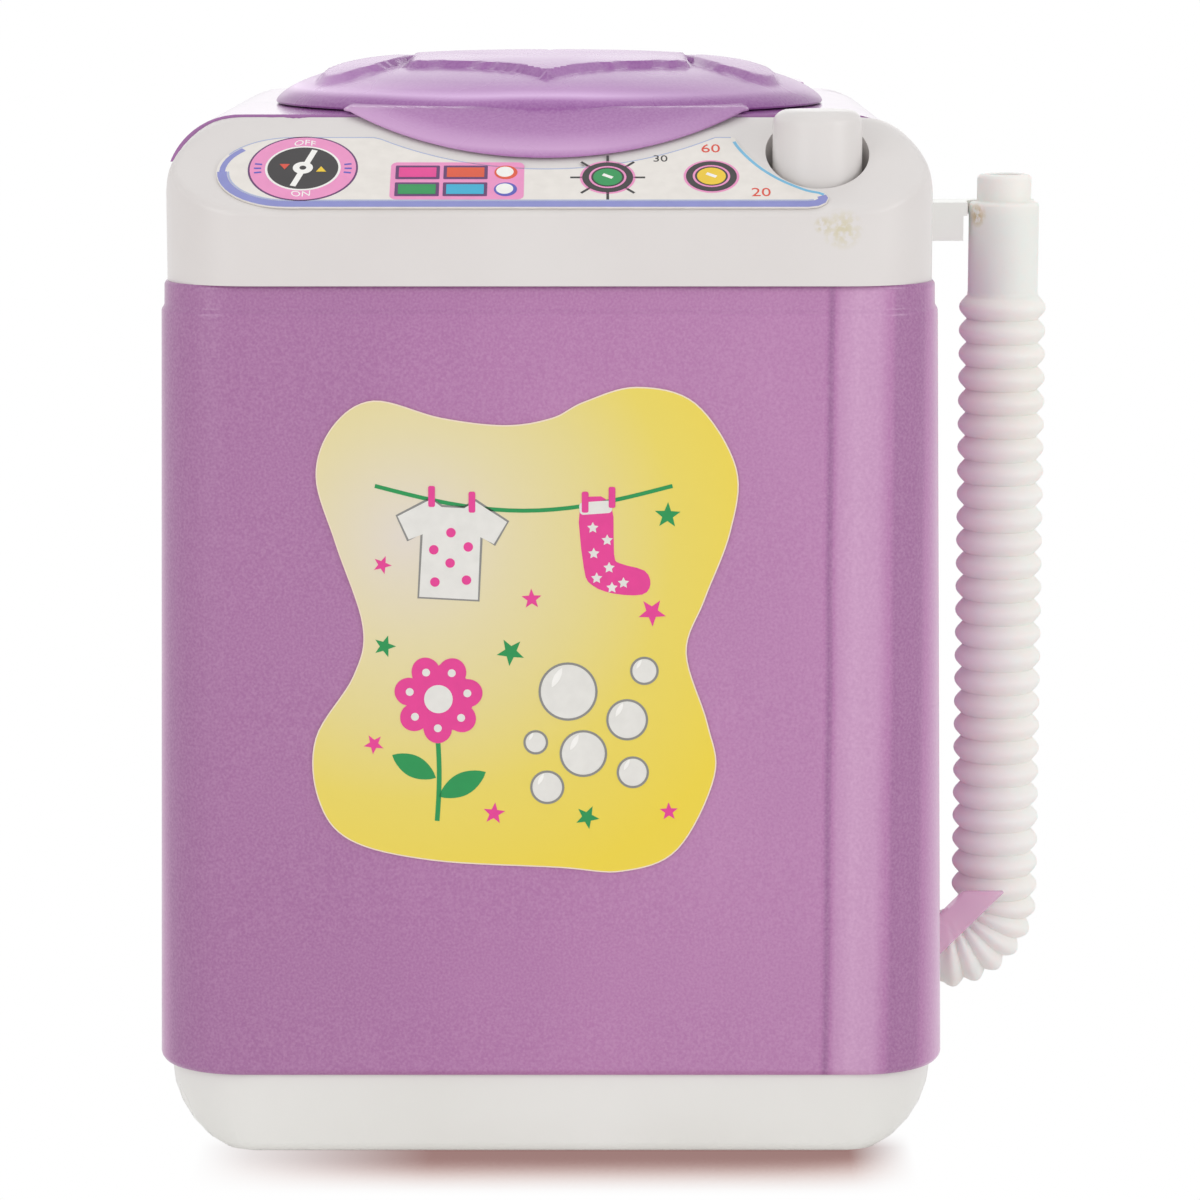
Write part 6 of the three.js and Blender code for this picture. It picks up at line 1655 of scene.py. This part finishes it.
@dataclass
class Studio:
    """The camera, the lamps, the floor and the white surroundings."""

    lens: float = 130.8
    sensor: float = 36.0
    place: Point = (0.0053, -0.492, 0.1315)
    tilt: float = 9.05
    ambient: float = 0.67
    middle: Point = (0.0, 0.0, 0.06)
    lamps: tuple[tuple[str, Point, float, float], ...] = (
        ("left_softbox", (-0.5, -0.6, 0.3), 0.45, 1.15), ("right_softbox", (0.65, -0.45, 0.3), 0.35, 1.2),
        ("top_softbox", (0.0, 0.05, 0.75), 0.6, 0.45), ("back_softbox", (0.0, 0.7, 0.4), 0.5, 0.4))

    def camera(self) -> None:
        """Makes the camera at the photograph's place."""
        data = bpy.data.cameras.new("camera")
        data.lens, data.sensor_width = self.lens, self.sensor
        data.clip_start, data.clip_end = 0.01, 20
        made = show("camera", data)
        made.location = self.place
        made.rotation_euler = (math.radians(90 - self.tilt), 0, 0)
        bpy.context.scene.camera = made

    def surroundings(self) -> None:
        """Makes the white surroundings and their even light."""
        scene = bpy.context.scene
        scene.view_settings.view_transform = "Standard"
        scene.world = bpy.data.worlds.new("studio")
        scene.world.use_nodes = True
        sheet = NodeSheet(scene.world.node_tree)
        seen = sheet.add("LightPath", "Is Camera Ray", {})
        rays = seen.node.outputs
        clear = sheet.calc("MAXIMUM", rays["Is Glossy Ray"], rays["Is Transmission Ray"])
        strength = sheet.spread(sheet.calc("MAXIMUM", seen, clear), self.ambient, 1.0, 0.0, 1.0)
        sheet.fill(sheet.tree.nodes["Background"], {"Color": (1, 1, 1, 1), "Strength": strength})

    def floor(self) -> None:
        """Makes the pale floor with the thin painted shadow where the toy touches it."""
        size = 9.0
        mesh = bpy.data.meshes.new("floor")
        mesh.from_pydata([(-size, -size, 0), (size, -size, 0), (size, size, 0), (-size, size, 0)], [], [range(4)])
        mesh.materials.append(FloorPaper("floor_paper").material())
        show("floor", mesh)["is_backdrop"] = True

    def lamp(self, name: str, place: Point, size: float, power: float) -> None:
        """Hangs one soft lamp.

        Args:
            name: its name.
            place: where it hangs.
            size: of its square.
            power: in watts.
        """
        data = bpy.data.lights.new(name, "AREA")
        data.shape, data.size, data.energy = "SQUARE", size, power
        made = show(name, data)
        made.location = place
        made.rotation_euler = (Vector(self.middle) - Vector(place)).to_track_quat("-Z", "Y").to_euler()

    def build(self) -> None:
        """Sets up the studio."""
        self.camera()
        self.surroundings()
        self.floor()
        for lamp in self.lamps:
            self.lamp(*lamp)


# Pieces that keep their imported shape


DRESSINGS: tuple[tuple[Finish, tuple[str, ...]], ...] = (
    (Plastic("cap_plastic", (226, 222, 206), (214, 209, 192), roughness=0.5), ("motor_end_cap",)),
    (Plastic("black_rubber", (44, 44, 44), (33, 33, 33), (60, 60, 60), roughness=0.7), ("shaft_seal",)),
    (Metal("plated_steel"), (
        "motor_shaft", "motor_can", "motor_bracket", "bracket_screw_1", "bracket_screw_2", "tub_screw_1",
        "tub_screw_2", "tub_screw_3", "base_screw_1", "base_screw_2", "base_screw_3", "base_screw_4",
        "contact_plate_1", "contact_plate_2", "spring_plate_1", "spring_plate_2")),
    (SPRING_STEEL, ("contact_spring_1", "contact_spring_2")),
    (Plastic("switch_plastic", (52, 52, 55), (38, 38, 41), (70, 70, 72), roughness=0.5), ("switch_body",)),
    (Plastic("cell_print", (48, 84, 76), (40, 72, 66), (70, 110, 100), roughness=0.25, coat=0.4),
     ("battery_1", "battery_2")),
    (HOSE_SOFT, ("drain_pipe",)),
    (Plastic("lead_red", (188, 44, 38), (170, 36, 32), (150, 30, 26), roughness=0.45),
     ("lead_battery_to_switch", "lead_switch_to_motor")),
    (Plastic("lead_black", (34, 34, 36), (26, 26, 28), (50, 50, 50), roughness=0.45),
     ("lead_motor_to_battery",)),
)


def dress(finish: Finish, names: Sequence[str]) -> None:
    """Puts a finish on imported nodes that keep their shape.

    Args:
        finish: the finish.
        names: the nodes.
    """
    for name in names:
        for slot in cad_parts[name].material_slots:
            slot.material = finish.material()
        LOG.info("%s keeps its packed shape", name)


def main() -> None:
    """Builds the studio and every piece in order."""
    logging.basicConfig(level=logging.INFO, format="%(message)s")
    Studio().build()
    for finish, names in DRESSINGS:
        dress(finish, names)
    casing = Casing()
    casing.build()
    Lid(casing).build()
    button = PowerButton(casing.button)
    button.build()
    button.spring()
    Hose(casing.port_z).build()
    FrontSticker(casing).build()
    ControlPanel(casing).build()
    moulded_copy("wash_tub_moulding", "wash_tub", Body.CABINET, TUB_WHITE, "white_plastic")
    moulded_copy("pulsator_moulding", "pulsator", Body.AGITATOR, TUB_WHITE, "white_plastic")
    moulded_copy("pulsator_cap_moulding", "pulsator_cap", Body.AGITATOR, LID_PEARL, "lid_plastic")
    moulded_copy("hose_hook_moulding", "hose_hook", Body.CABINET, HOOK_WHITE, "white_plastic")
    [[list(corner) for corner in box] for box in (CAD_BOX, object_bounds())]


if __name__ == "__main__":
    main()
